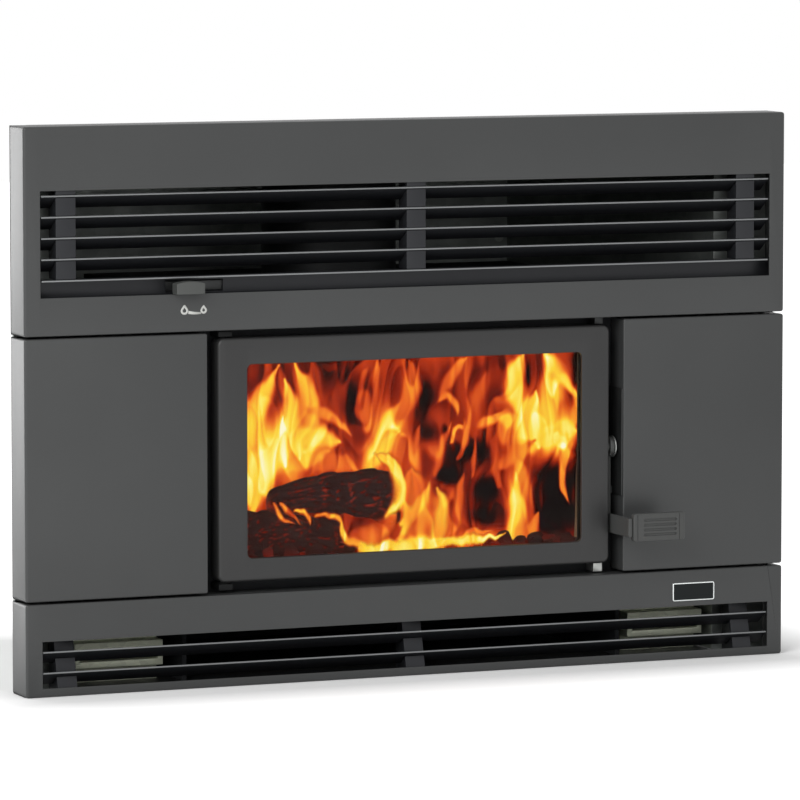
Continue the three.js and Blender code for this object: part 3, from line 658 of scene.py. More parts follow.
def blade_tree():
    """Slats with rounded edges, one under another."""
    tree, given = tree_with(
        "louvre blades",
        Vector=("Left End", "Right End", "Tilt", "Step"),
        Float=("Depth", "Thickness", "Edge Radius"),
        Int=("Count",),
    )
    ends = {"Start": given["Left End"], "End": given["Right End"]}
    line = add(tree, "GeometryNodeCurvePrimitiveLine", ends)
    size = {"Width": given["Depth"], "Height": given["Thickness"]}
    section = add(tree, "GeometryNodeCurvePrimitiveQuadrilateral", size)
    corners = {"Curve": section, "Radius": given["Edge Radius"], "Count": 4}
    eased = add(tree, "GeometryNodeFilletCurve", corners, mode="POLY")
    slat = add(tree, "GeometryNodeCurveToMesh", {"Curve": line, "Profile Curve": eased, "Fill Caps": True})
    tipped = add(tree, MOVE, {"Geometry": slat, "Rotation": given["Tilt"]})
    rows = add(tree, LINE, {"Count": given["Count"], "Offset": given["Step"]}, mode="OFFSET")
    return close_tree(tree, given, add(tree, COPY, {"Points": rows, "Instance": tipped}))


def screw_tree():
    """Heads in a row, each on its washer."""
    tree, given = tree_with(
        "row of heads",
        Vector=("First", "Last", "Turn"),
        Float=("Head Radius", "Head Height"),
        Int=("Count", "Sides"),
    )
    ends = {"Count": given["Count"], "Start Location": given["First"], "Offset": given["Last"]}
    row = add(tree, LINE, ends, mode="END_POINTS")
    radius, height = given["Head Radius"], given["Head Height"]
    head = add(tree, HEAD, {"Vertices": given["Sides"], "Radius": radius, "Depth": height})
    wide = add(tree, MATHS, {0: radius, 1: 1.45}, operation="MULTIPLY")
    low = add(tree, MATHS, {0: height, 1: 0.35}, operation="MULTIPLY")
    washer = add(tree, HEAD, {"Vertices": 20, "Radius": wide, "Depth": low})
    both = add(tree, "GeometryNodeJoinGeometry", {"Geometry": head})
    tree.links.new(washer.outputs["Mesh"], both.inputs["Geometry"])
    heads = add(tree, COPY, {"Points": row, "Instance": both, "Rotation": given["Turn"]})
    return close_tree(tree, given, heads)


def brick_tree():
    """A slab of firebricks with narrow joints."""
    tree, given = tree_with(
        "brick lining", Vector=("Low Corner", "Brick Size", "Step Across", "Step Up"), Int=("Across", "Up")
    )
    brick = add(tree, "GeometryNodeMeshCube", {"Size": given["Brick Size"]})
    course = add(tree, LINE, {"Count": given["Across"], "Offset": given["Step Across"]}, mode="OFFSET")
    courses = add(tree, LINE, {"Count": given["Up"], "Offset": given["Step Up"]}, mode="OFFSET")
    row = add(tree, COPY, {"Points": course, "Instance": brick})
    wall = add(tree, COPY, {"Points": courses, "Instance": row})
    return close_tree(tree, given, add(tree, MOVE, {"Geometry": wall, "Translation": given["Low Corner"]}))


# ---- Operators ----
class INSERT_OT_fascia(bpy.types.Operator):
    """Folds and paints the four panels, and sets the blank badge"""

    bl_idname = "insert.fascia"
    bl_label = "Fascia"

    def execute(self, context):
        sheet = context.scene.insert_sheet
        rule = fold_rule(sheet.outer_bend, sheet.inner_bend, sheet.cut_edge)
        for side in ("top", "left", "right", "bottom"):
            soften(side + "_fascia_panel", "panel", "charcoal_paint", rule, segments=4)
        self.badge()
        return {"FINISHED"}

    def badge(self):
        """A silver plate with a narrow rim round a sunk dark field."""
        low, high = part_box("badge_plate")
        rim, dip, edge = 0.0014, 0.0005, 0.0003
        corner, least = 0.0022, 0.0006
        back, front = high.y, low.y
        steps = ((0, back), (0, front + edge), (edge, front), (rim - edge, front), (rim, front + dip))
        loops = [(inset_loop(low, high, inset, max(corner - inset, least)), y) for inset, y in steps]
        badge = piece_of("badge", plate_between(bmesh.new(), loops), finish("silver"))
        badge.data.set_sharp_from_angle(angle=SHARP)
        field = front + dip
        second_finish(badge, "badge", lambda f: len(f.vertices) > 4 and abs(f.center.y - field) < SAME)
        settle(badge, "silver_trim", "badge_plate")


class INSERT_OT_louvres(bpy.types.Operator):
    """Sets the blades of both louvres on their posts"""

    bl_idname = "insert.louvres"
    bl_label = "Louvres"

    def execute(self, context):
        tree = blade_tree()
        for where, count in (("upper", 4), ("lower", 2)):
            self.blades(tree, where, count)
            for side in ("left", "centre", "right"):
                soften(f"{where}_louvre_post_{side}", "strip", "matt_black", 0.0005)
        return {"FINISHED"}

    def blades(self, tree, where, count):
        """Blades as deep, thick and tilted as the solids, in paint darkened as painted shade, with a painted
        highlight on their front edges.
        """
        names = [f"{where}_louvre_blade_{i + 1}" for i in range(count)]
        low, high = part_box(names[0])
        centre = (low + high) / 2
        sizes = {
            "Left End": (low.x, 0, 0),
            "Right End": (high.x, 0, 0),
            "Depth": 0.025,
            "Thickness": 0.002,
            "Edge Radius": 0.0008,
            "Tilt": (math.radians(-33), 0, 0),
            "Count": count,
            "Step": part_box(names[1])[0] - low,
        }
        blades = grow(where + "_louvre_blades", tree, "blade", sizes)
        blades.data.transform(Matrix.Translation((0, centre.y, centre.z)))
        highlight_reach = low.y + 0.0022  # how far back the painted highlight reaches, on what looks forward
        second_finish(blades, "lip", lambda f: f.center.y < highlight_reach and f.normal.y < -0.3)
        settle(blades, "charcoal_paint", *names)


class INSERT_OT_air_control(bpy.types.Operator):
    """Builds the control strip, the sliding knob and the printed mark"""

    bl_idname = "insert.air_control"
    bl_label = "Air control"

    def execute(self, context):
        sheet = context.scene.insert_sheet
        small_bend = 0.0012
        rule = fold_rule(sheet.inner_bend, small_bend, sheet.cut_edge)
        soften("control_ledge", "strip", "charcoal_paint", rule)
        strip = soften("control_strip", "strip", "charcoal_paint", rule)
        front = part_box("control_strip")[0].y
        # The strip's front face takes the lightened paint, a painted highlight over the strip paint.
        second_finish(strip, "lip", lambda f: abs(f.center.y - front) < SAME)
        # The slide bar and shutter take zinc darkened as painted shade.
        soften("air_slide_bar", "dull_zinc", "zinc", 0.0003)
        soften("air_shutter", "dull_zinc", "zinc", 0.0003)
        self.knob(front)
        self.mark()
        return {"FINISHED"}

    def knob(self, front):
        """A crowned block with a stem that goes back through the slot."""
        low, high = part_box("air_knob")
        back = front - 0.0003  # it slides just clear of the strip
        size = Vector((high.x - low.x, back - low.y, high.z - low.z))
        crown, bow, draft = 0.17, 0.07, 0.05  # how far its top, its front and its ends round off
        mesh = bmesh.new()
        bmesh.ops.create_cube(mesh, size=1)
        bmesh.ops.subdivide_edges(mesh, edges=mesh.edges, cuts=9, use_grid_fill=True)
        for vert in mesh.verts:
            u, v, w = vert.co * 2
            forward, up = (1 - v) / 2, (1 + w) / 2
            vert.co.x = low.x + size.x * (0.5 + 0.5 * u * (1 - draft * forward))
            vert.co.y = back - size.y * forward * (1 - bow * u * u)
            vert.co.z = low.z + size.z * up * (1 - crown * u * u * up)
        knob = piece_of("air_knob.finished", mesh, finish("knob"))
        round_edges(knob, 0.0016, 4)
        take_shape(knob)
        stem_at, stem_width, stem_height, overlap = low.x + size.x * 0.35, 0.012, 0.006, 0.001
        foot = (low.z + high.z - stem_height) / 2
        stem = box_mesh((stem_at, back - overlap, foot), (stem_at + stem_width, high.y, foot + stem_height))
        stem.from_mesh(knob.data)
        stem.to_mesh(knob.data)
        stem.free()
        settle(knob, "matt_black", "air_knob")

    def mark(self):
        """Two small drops joined by a bar that tapers, for more and less air."""
        x, z = -0.2575, 0.4095
        ink = 0.00012
        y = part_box("top_fascia_panel")[0].y - 0.0001
        mesh = bmesh.new()

        def drop(cx, radius, hole, points=28):
            """A ring shaped as a drop: round below, drawn to a point above."""
            rings = [[], []]
            for ring, scale in zip(rings, (radius, radius * hole)):
                for i in range(points):
                    a = 2 * math.pi * i / points - math.pi / 2
                    above = max(0, math.sin(a))
                    u = scale * math.cos(a) * (1 - 0.35 * above**2)
                    w = scale * math.sin(a) * (1 + 0.45 * above**3)
                    ring.append(mesh.verts.new((cx + u, y, z + w)))
            for i in range(points):
                mesh.faces.new((rings[0][i - 1], rings[0][i], rings[1][i], rings[1][i - 1]))

        drop(x - 0.0108, 0.0044, 0.45)
        drop(x + 0.0112, 0.0038, 0.40)
        bar = ((-0.0066, -0.0036), (0.0, -0.0044), (0.0082, -0.0040))
        bar += ((0.0082, -0.0020), (0.0, -0.0014), (-0.0062, -0.0002))
        mesh.faces.new([mesh.verts.new((x + u, y - 0.00002, z + w)) for u, w in bar])
        bmesh.ops.recalc_face_normals(mesh, faces=mesh.faces)
        printed = piece_of("printed_mark", mesh, finish("mark"))
        wall = printed.modifiers.new("ink", "SOLIDIFY")
        wall.thickness, wall.offset = ink, 0
        take_shape(printed)
        settle(printed, "charcoal_paint", body="body")


class INSERT_OT_door(bpy.types.Operator):
    """Builds the door's frame, glass, seal and glass clips"""

    bl_idname = "insert.door"
    bl_label = "Door"

    def execute(self, context):
        outer = context.scene.insert_sheet.door_edge
        low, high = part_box("door_frame")

        side, rail = 0.02, 0.015  # the frame is wider than this at its sides and at its rails

        def inside(at):
            return low.x + side < at.x < high.x - side and low.z + rail < at.z < high.z - rail

        def rule(edge, narrowest):
            """The front's outer edge is round, its opening is eased, and the rest is nearly sharp."""
            places = [v.co for v in edge.verts]
            if any(abs(at.y - low.y) >= SAME for at in places):
                return 0.0006
            return 0.0012 if all(map(inside, places)) else outer

        soften("door_frame", "door", "door_paint", rule, segments=5)
        soften("door_glass", "glass", "door_glass", 0.0005)
        for where in ("top", "bottom"):
            soften("glass_retainer_" + where, "zinc", "zinc", 0.0004)
        self.seal()
        return {"FINISHED"}

    def seal(self):
        """A rope of three strands laid round the back of the frame."""
        low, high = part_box("door_rope_seal")
        radius, middle = (high.y - low.y) / 2, (low.y + high.y) / 2
        step, twist, sides = 0.0025, 0.75, 18  # metres and turn from ring to ring, and points round it
        strands, depth, corner = 3, 0.045, 0.02
        path = inset_loop(low, high, radius, corner, 10)
        points = []
        for (x, z), (nx, nz) in zip(path, path[1:] + path[:1]):
            parts = max(1, round(math.hypot(nx - x, nz - z) / step))
            points += [(x + (nx - x) * k / parts, z + (nz - z) * k / parts) for k in range(parts)]

        def section(i):
            angles = [2 * math.pi * k / sides for k in range(sides)]
            reaches = [radius * (1 - depth + depth * math.cos(strands * a + i * twist)) for a in angles]
            return [(r * math.cos(a), middle + r * math.sin(a)) for r, a in zip(reaches, angles)]

        rope = piece_of("door_rope_seal.finished", swept(points, section), finish("rope"))
        settle(rope, "rope", "door_rope_seal")


class INSERT_OT_handle(bpy.types.Operator):
    """Builds the lever, its grip and its bolt"""

    bl_idname = "insert.handle"
    bl_label = "Handle"

    def execute(self, context):
        soften("handle_lever", "grip", "matt_black", 0.0012, segments=4)
        soften("lever_pivot_bolt", "zinc", "zinc", 0.0004)
        self.grip()
        return {"FINISHED"}

    def grip(self):
        """A flat moulded grip with four finger slots and a plain band at each end."""
        low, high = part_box("handle_grip")
        soft, clear, line, corner = 0.0012, 0.001, 0.0008, 0.0002
        steps = (  # how far each loop is inside the box, the radius of its corners, and its place
            (soft, 0.002, high.y),
            (0, 0.003, high.y - soft),
            (0, 0.003, low.y + soft),
            (soft * 0.3, 0.0028, low.y + soft * 0.3),
            (soft, 0.0022, low.y),
        )
        loops = [(inset_loop(low, high, inset, radius), y) for inset, radius, y in steps]
        grip = piece_of("handle_grip.finished", plate_between(bmesh.new(), loops), finish("grip"))
        cutters = bmesh.new()

        def cut(loop, depth):
            plate_between(cutters, [(loop, low.y - clear), (loop, low.y + depth)])

        pitch, half = 0.0054, 0.0015
        for i in range(4):
            z = (low.z + high.z) / 2 + (i - 1.5) * pitch
            cut(rounded_loop(low.x + 0.0125, high.x - 0.0105, z - half, z + half, 0.00149), 0.0014)
        for x in (low.x + 0.0045, high.x - 0.0075):
            cut(rounded_loop(x, x + line, low.z - clear, high.z + clear, corner), 0.0006)
        tool = piece_of("cutters", cutters, finish("grip"))
        slots = grip.modifiers.new("slots", "BOOLEAN")
        slots.object, slots.operation, slots.solver = tool, "DIFFERENCE", "EXACT"
        take_shape(grip)
        bpy.data.objects.remove(tool)
        round_edges(grip, 0.00025, 2)
        settle(grip, "matt_black", "handle_grip")


class INSERT_OT_door_fittings(bpy.types.Operator):
    """Finishes the hinge lugs and pins, the stop lugs and the latch keeper"""

    bl_idname = "insert.door_fittings"
    bl_label = "Door fittings"

    def execute(self, context):
        for where in ("top", "bottom"):
            # The hinge lugs and pins take the black darkened as painted shade.
            soften("hinge_lug_" + where, "hinge", "matt_black", 0.0006)
            soften("hinge_pin_" + where, "hinge", "zinc", 0.0004)
        # The top stop lug and the latch keeper take zinc darkened as painted shade; the bottom stop lug takes
        # plain zinc plate.
        soften("door_stop_lug_top", "dull_zinc", "zinc", 0.0006)
        soften("door_stop_lug_bottom", "zinc", "zinc", 0.0006)
        soften("latch_keeper", "dull_zinc", "zinc", 0.0005)
        return {"FINISHED"}


class INSERT_OT_casing(bpy.types.Operator):
    """Builds the casing, its screws and the flue collar"""

    bl_idname = "insert.casing"
    bl_label = "Casing"

    def execute(self, context):
        # The base plate, galvanised like the casing, takes zinc darkened as painted shade.
        soften("base_plate", "dull_zinc", "galvanised", 0.0003)
        for side in ("left_side", "right_side", "back", "top"):
            soften("casing_" + side, "casing", "galvanised", 0.0006)
        self.collar()
        self.screws()
        return {"FINISHED"}

    def collar(self):
        """The flue collar, turned smooth, with a rolled lip."""
        low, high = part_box("flue_spigot")
        x, y, outer = (low.x + high.x) / 2, (low.y + high.y) / 2, (high.x - low.x) / 2
        wall, neck, turns = 0.003, 0.0008, 96
        section = (  # radius and height, from inside at the foot round to inside at the lip
            (outer - wall, low.z),
            (outer, low.z),
            (outer, high.z - 0.012),
            (outer - neck, high.z - 0.0105),
            (outer - neck, high.z - 0.0015),
            (outer - 0.0015, high.z),
            (outer - wall + 0.0004, high.z),
            (outer - wall, high.z - 0.001),
        )
        angles = [2 * math.pi * i / turns for i in range(turns)]
        verts = [(x + r * math.cos(a), y + r * math.sin(a), z) for a in angles for r, z in section]
        faces = [face[::-1] for face in tube_faces(turns, len(section))]
        collar = piece_of("flue_spigot.finished", (verts, [], faces), finish("black"))
        collar.data.set_sharp_from_angle(angle=SHARP)
        settle(collar, "matt_black", "flue_spigot")

    def screws(self):
        """Hexagon heads up the casing's back and along its top."""
        tree = screw_tree()
        low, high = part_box("casing_back")
        inset, margin, height = 0.011, 0.03, 0.003
        sunk = high.y - height / 2
        rows = [
            ((x, sunk, margin), (x, sunk, high.z - margin), 7, (math.pi / 2, 0, 0))
            for x in (low.x + inset, high.x - inset)
        ] + [
            ((low.x + margin, y, high.z), (high.x - margin, y, high.z), 6, (0, 0, 0))
            for y in (0.02, high.y - inset)
        ]
        for row, (first, last, count, turn) in enumerate(rows):
            sizes = {
                "First": first,
                "Last": last,
                "Count": count,
                "Turn": turn,
                "Head Radius": 0.004,
                "Head Height": height,
                "Sides": 6,
            }
            settle(grow(f"casing_screws_{row}", tree, "zinc", sizes), "zinc", body="body")


class INSERT_OT_blowers(bpy.types.Operator):
    """Finishes the two blowers"""

    bl_idname = "insert.blowers"
    bl_label = "Blowers"

    def execute(self, context):
        for side in ("left", "right"):
            # The housings take galvanised sheet lightened as painted light; the galvanised rotors take the
            # dark inside paint as painted shade.
            soften(side + "_blower_housing", "galvanised", "galvanised", 0.0005)
            soften(side + "_blower_rotor", "inside", "galvanised", 0.0002, segments=1)
        return {"FINISHED"}


class INSERT_OT_firebox(bpy.types.Operator):
    """Finishes the firebox and lines it with bricks"""

    bl_idname = "insert.firebox"
    bl_label = "Firebox"

    def execute(self, context):
        for part in ("front_plate", "left_wall", "right_wall", "back_wall", "floor_plate", "roof_plate"):
            soften("firebox_" + part, "inside", "matt_black", 0.0006)
        soften("baffle_plate", "inside", "matt_black", 0.0006)
        soften("secondary_air_tube", "inside", "matt_black", 0.0006)
        tree = brick_tree()
        x, y, z = range(3)
        self.line(tree, "left_firebrick", y, z, 3)
        self.line(tree, "right_firebrick", y, z, 3)
        self.line(tree, "back_firebrick", x, z, 4)
        self.line(tree, "floor_firebrick", x, y, 4)
        return {"FINISHED"}

    def line(self, tree, node, across, up, count):
        """Bricks in two courses that fill a slab."""
        low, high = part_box(node)
        size = high - low
        joint = 0.0012
        brick, start = size.copy(), low.copy()
        steps = [Vector(), Vector()]
        for step, axis, bricks in zip(steps, (across, up), (count, 2)):
            step[axis] = size[axis] / bricks
            brick[axis] = step[axis] - joint
            start[axis] += joint / 2
        sizes = {
            "Low Corner": start + brick / 2,
            "Brick Size": brick,
            "Across": count,
            "Up": 2,
            "Step Across": steps[0],
            "Step Up": steps[1],
        }
        lining = grow(node + "s", tree, "brick", sizes)
        round_edges(lining, 0.0012, 2, harden=False)
        settle(lining, "firebrick", node)


# ---- The fire ----
def ripple(x, z, seed, cells=97):
    """Smooth noise of about -0.7 to 0.7 at the points x and z, one cell to a unit."""
    angle = np.random.default_rng(seed).uniform(0, 2 * np.pi, (cells, cells))
    xi, zi = np.floor(x).astype(int), np.floor(z).astype(int)
    fx, fz = x - xi, z - zi

    def ease(t):
        return t * t * t * (t * (t * 6 - 15) + 10)

    def corner(i, j):
        a = angle[(xi + i) % cells, (zi + j) % cells]
        return np.cos(a) * (fx - i) + np.sin(a) * (fz - j)

    low = corner(0, 0) * (1 - ease(fx)) + corner(1, 0) * ease(fx)
    high = corner(0, 1) * (1 - ease(fx)) + corner(1, 1) * ease(fx)
    return low * (1 - ease(fz)) + high * ease(fz)


def veil(value, sharp=0.12):
    """Rises slowly and drops fast, as the edge of a sheet of flame does."""
    part = value - np.floor(value)
    return np.where(part < 1 - sharp, part / (1 - sharp), (1 - part) / sharp)


# Where the fire is bright or dark: x, z, half width, half height, lean in degrees, strength.
HEARTS = (
    (-0.146, 0.254, 0.042, 0.034, 0, 0.60),
    (-0.184, 0.225, 0.014, 0.040, 0, 0.40),
    (-0.028, 0.266, 0.022, 0.034, -25, 0.40),
    (0.016, 0.182, 0.032, 0.030, 0, 0.34),
    (0.156, 0.268, 0.038, 0.034, 0, 0.60),
    (0.180, 0.248, 0.013, 0.022, 10, 0.36),
    (0.126, 0.185, 0.014, 0.040, 0, 0.18),
    (0.010, 0.238, 0.018, 0.020, 0, 0.16),
    (0.076, 0.322, 0.030, 0.020, 0, 0.07),
    (0.080, 0.146, 0.080, 0.008, 0, 0.24),
    (-0.100, 0.235, 0.030, 0.014, 0, 0.14),
)
HOLLOWS = (
    (-0.072, 0.298, 0.009, 0.020, -14, 0.30),
    (-0.084, 0.322, 0.022, 0.024, 0, 0.18),
    (-0.140, 0.310, 0.0035, 0.010, -8, 0.45),
    (-0.094, 0.220, 0.009, 0.006, 0, 0.25),
    (-0.103, 0.347, 0.022, 0.005, 0, 0.20),
    (0.016, 0.300, 0.009, 0.019, 0, 0.42),
    (0.021, 0.264, 0.018, 0.012, 0, 0.34),
    (0.046, 0.216, 0.013, 0.010, 0, 0.55),
    (0.036, 0.197, 0.010, 0.005, 35, 0.35),
    (0.063, 0.240, 0.014, 0.009, 0, 0.34),
    (0.088, 0.240, 0.010, 0.014, 0, 0.40),
    (0.088, 0.197, 0.014, 0.017, 0, 0.50),
    (0.088, 0.170, 0.014, 0.009, 0, 0.45),
    (0.141, 0.322, 0.0035, 0.012, 0, 0.45),
    (0.174, 0.208, 0.020, 0.020, 0, 0.47),
    (0.174, 0.165, 0.024, 0.028, 0, 0.50),
    (0.203, 0.335, 0.008, 0.026, 0, 0.55),
    (0.206, 0.215, 0.008, 0.050, 0, 0.45),
)
# Tongues of flame: start, bend and tip in millimetres on the glass, half width in millimetres, heat.
TONGUES = (
    ((-80, 250), (-96, 292), (-78, 338), 10, 0.34),
    ((-58, 280), (-70, 305), (-52, 340), 3.5, 0.52),
    ((-46, 292), (-40, 318), (-41, 350), 4.5, 0.55),
    ((-108, 232), (-84, 244), (-62, 224), 8, 0.60),
    ((-188, 262), (-190, 290), (-157, 344), 11, 0.86),
    ((-118, 262), (-112, 302), (-136, 346), 9, 0.76),
    ((-160, 240), (-130, 292), (-150, 326), 12, 0.86),
    ((-142, 258), (-112, 266), (-84, 257), 12, 0.88),
    ((-122, 296), (-94, 290), (-68, 267), 5, 0.66),
    ((-150, 238), (-118, 238), (-98, 248), 10, 0.78),
    ((-188, 202), (-172, 240), (-150, 262), 15, 0.92),
    ((-193, 178), (-183, 200), (-189, 236), 5, 0.92),
    ((-149, 236), (-149, 258), (-150, 290), 4.5, 1.04),
    ((-133, 240), (-131, 253), (-136, 272), 2, 0.92),
    ((-50, 222), (-47, 262), (-6, 296), 11, 0.70),
    ((-44, 238), (-26, 262), (-10, 298), 12, 0.88),
    ((-16, 280), (12, 316), (-2, 346), 8, 0.60),
    ((-49, 224), (-42, 250), (-12, 268), 4, 0.90),
    ((4, 244), (6, 262), (12, 276), 3, 0.50),
    ((36, 304), (44, 326), (70, 344), 6, 0.66),
    ((34, 300), (52, 316), (56, 282), 4, 0.72),
    ((50, 254), (53, 273), (82, 271), 2.5, 0.74),
    ((80, 271), (96, 273), (112, 284), 5, 0.74),
    ((76, 262), (70, 292), (90, 328), 9, 0.54),
    ((58, 236), (70, 262), (62, 278), 4, 0.56),
    ((30, 216), (32, 246), (49, 272), 5, 0.58),
    ((74, 214), (78, 240), (78, 258), 2.5, 0.56),
    ((106, 200), (96, 244), (108, 262), 5, 0.50),
    ((132, 288), (114, 312), (136, 350), 11, 0.88),
    ((158, 268), (186, 318), (161, 350), 12, 0.88),
    ((170, 322), (190, 318), (202, 288), 5, 0.82),
    ((196, 270), (206, 288), (196, 306), 6, 0.76),
    ((140, 262), (124, 272), (100, 282), 9, 0.76),
    ((144, 246), (132, 270), (152, 302), 13, 0.93),
    ((152, 244), (150, 268), (153, 304), 4.5, 1.04),
    ((160, 250), (182, 264), (198, 262), 11, 0.90),
    ((174, 257), (182, 248), (188, 228), 4.5, 1.02),
    ((190, 244), (176, 214), (191, 180), 4, 0.72),
    ((112, 226), (122, 240), (148, 250), 9, 0.66),
    ((118, 138), (144, 190), (126, 236), 12, 0.70),
    ((118, 138), (130, 172), (126, 216), 6.5, 0.88),
    ((136, 138), (150, 160), (146, 200), 6, 0.56),
    ((134, 136), (150, 152), (156, 172), 6, 0.72),
)
FRONT_TONGUES = (
    ((-66, 152), (-34, 154), (-18, 176), 11, 0.60),
    ((-10, 186), (-12, 206), (4, 228), 8, 0.62),
    ((2, 140), (24, 176), (4, 226), 17, 0.62),
    ((-26, 176), (6, 214), (-44, 246), 6, 0.84),
    ((-38, 244), (-14, 236), (-9, 204), 4, 0.84),
    ((-10, 168), (16, 186), (22, 208), 7, 0.84),
    ((28, 142), (42, 172), (34, 202), 9, 0.80),
    ((-12, 150), (4, 176), (-10, 196), 5, 0.82),
    ((52, 152), (58, 190), (62, 222), 5, 0.54),
    ((60, 150), (76, 158), (104, 152), 3, 0.62),
    ((-112, 180), (-82, 184), (-80, 158), 2.6, 0.76),
    ((-82, 166), (-82, 142), (-36, 143), 3.2, 0.84),
    ((-60, 141), (-20, 138), (40, 148), 7, 0.88),
    ((-36, 139), (10, 141), (58, 145), 8, 0.97),
    ((26, 142), (70, 145), (112, 148), 5.5, 0.93),
    ((-164, 194), (-156, 186), (-140, 170), 2.6, 0.70),
    ((-154, 196), (-146, 192), (-132, 168), 2.4, 0.62),
    ((-136, 185), (-118, 188), (-121, 168), 3.0, 0.78),
)


def leaning_spot(x, z, spot):
    """A soft oval of heat."""
    cx, cz, rx, rz, lean, strength = spot
    a = math.radians(lean)
    p = (x - cx) * math.cos(a) - (z - cz) * math.sin(a)
    q = (x - cx) * math.sin(a) + (z - cz) * math.cos(a)
    return strength * np.exp(-((p / rx) ** 2 + (q / rz) ** 2))


def tongue_reach(x, z, tongue):
    """Distance from a tongue's middle line, as a share of its width there; it tapers to its tip."""
    start, bend, tip = (np.array(point) / 1000 for point in tongue[:3])
    width = tongue[3] / 1000
    near = np.full_like(x, 9.0)  # farther than any tongue reaches
    for t in np.linspace(0, 1, 60):
        cx, cz = (1 - t) ** 2 * start + 2 * t * (1 - t) * bend + t * t * tip
        taper = max(0.18, 1.3 - 0.85 * (2 * t - 0.8) ** 2)  # widest at 0.4 of its length
        near = np.minimum(near, np.hypot(x - cx, z - cz) / (width * taper))
    return near


def eased(value):
    """Goes from 0 to 1 with a soft start and a soft end."""
    value = np.clip(value, 0, 1)
    return value * value * (3 - 2 * value)


def laid_over(heat, x, z, tongues, texture):
    """Lays tongues of flame over a field of heat, with bright edges; also returns what they cover."""
    whole, gone = 0.30, 1.35  # a tongue fades out between these shares of its width
    cover = np.zeros_like(x)
    for tongue in tongues:
        near = tongue_reach(x, z, tongue)
        part = eased((gone - near) / (gone - whole))
        bright_edge = 0.05 * np.exp(-(((near - 0.75) / 0.18) ** 2))
        hot = tongue[-1] - 0.07 * near**2 + bright_edge + texture
        heat = heat * (1 - part) + hot * part
        cover = np.maximum(cover, part)
    return heat, cover


def silk(x, z):
    """Folds of a few sizes, each with one soft side and one sharp side, drawn out upwards."""
    curl = x + 0.010 * ripple(x / 0.030, z / 0.055, 7)
    climb = z + 0.018 * ripple(x / 0.026, z / 0.050, 8)
    wide = veil(2.0 * ripple(curl / 0.045, climb / 0.12, 11) + 0.7 * ripple(curl / 0.022, climb / 0.06, 12))
    thin = veil(2.6 * ripple(curl / 0.024, climb / 0.08, 14) + 0.5)
    streak = ripple(curl / 0.005, climb / 0.06, 13)
    return 0.24 * (wide - 0.55) + 0.13 * (thin - 0.5) + 0.06 * streak


def swayed(x, z):
    """Places moved a little, so that no tongue has a plain edge."""
    sway = 0.0050 * ripple(x / 0.020, z / 0.030, 3) + 0.0022 * ripple(x / 0.008, z / 0.016, 4)
    lift = 0.0060 * ripple(x / 0.018, z / 0.036, 5) + 0.0030 * ripple(x / 0.007, z / 0.018, 6)
    return x + sway, z + lift


def curtain_heat(x, z):
    """Heat over the curtain of flame, in the places where the glass shows it."""
    u, w = swayed(x, z)
    texture = silk(x, z)
    dull_red = 0.34
    bright = sum(leaning_spot(u, w, spot) for spot in HEARTS)
    dark = sum(leaning_spot(u, w, spot) for spot in HOLLOWS)
    heat, _ = laid_over(dull_red + bright + texture - dark, u, w, TONGUES, 0.75 * texture)
    return np.clip(heat, 0, HOTTEST)


def height_sheet(name, xs, zs, depth, layers, material, keep=None):
    """A sheet over a grid of x and z at the given depths, with named values at its points."""
    gx, gz = np.meshgrid(xs, zs)
    points = np.column_stack([gx.ravel(), depth.ravel(), gz.ravel()])
    index = np.arange(gx.size).reshape(gx.shape)
    quads = np.stack([index[:-1, :-1], index[:-1, 1:], index[1:, 1:], index[1:, :-1]], axis=-1).reshape(-1, 4)
    if keep is not None:
        quads = quads[keep.ravel()[quads].any(axis=1)]
    used, quads = np.unique(quads, return_inverse=True)
    sheet = piece_of(name, (points[used].tolist(), [], quads.reshape(-1, 4).tolist()), finish(material))
    for label, values in layers.items():
        put_values(sheet, label, values.ravel()[used])
    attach(sheet, "body")


class INSERT_OT_flames(bpy.types.Operator):
    """Hangs the curtain of flame behind the glass, with tongues of fire in front of the logs"""

    bl_idname = "insert.flames"
    bl_label = "Flames"

    # A view from 23 degrees left and 5 degrees up sees a deeper sheet shifted by this much for each metre.
    shift_x, shift_z = 0.4228, -0.0956
    glass = -0.034  # the depth at which the flames' places are given

    def execute(self, context):
        self.curtain(context.scene.insert_fire)
        self.tongues()
        return {"FINISHED"}

    def on_glass(self, x, z, depth):
        """Where the glass shows the points of a sheet."""
        behind = depth - self.glass
        return x - self.shift_x * behind, z - self.shift_z * behind

    def curtain(self, fire):
        """A sheet that hangs between the side bricks and leans forward to its top."""
        clear, forward, foot, head = 0.001, 0.018, 0.1195, 0.3445
        left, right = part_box("left_firebrick")[1].x + clear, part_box("right_firebrick")[0].x - clear
        xs = np.linspace(left, right, fire.columns)
        zs = np.linspace(foot, head, fire.rows)
        gx, gz = np.meshgrid(xs, zs)
        lean = fire.curtain_depth - forward * (gz - foot) / (head - foot)
        heat = curtain_heat(*self.on_glass(gx, gz, lean))
        relief = 0.005 * ripple(gx / 0.03, gz / 0.07, 21)
        height_sheet("flame_curtain", xs, zs, lean + relief, {"warmth": heat}, "flame")

    def tongues(self):
        """Curled flames over the coals and round the log, on a nearer sheet."""
        depth = -0.004
        xs = np.linspace(-0.160, 0.130, 300)
        zs = np.linspace(0.131, 0.250, 120)
        gx, gz = np.meshgrid(xs, zs)
        u, w = swayed(*self.on_glass(gx, gz, depth))
        heat, cover = laid_over(np.full_like(u, 0.4), u, w, FRONT_TONGUES, 0.8 * silk(u, w))
        relief = 0.002 * ripple(gx / 0.02, gz / 0.03, 33)
        layers = {"warmth": np.clip(heat, 0, HOTTEST), "cover": cover}
        height_sheet("flame_tongues", xs, zs, depth + relief, layers, "tongue", cover > 0.01)


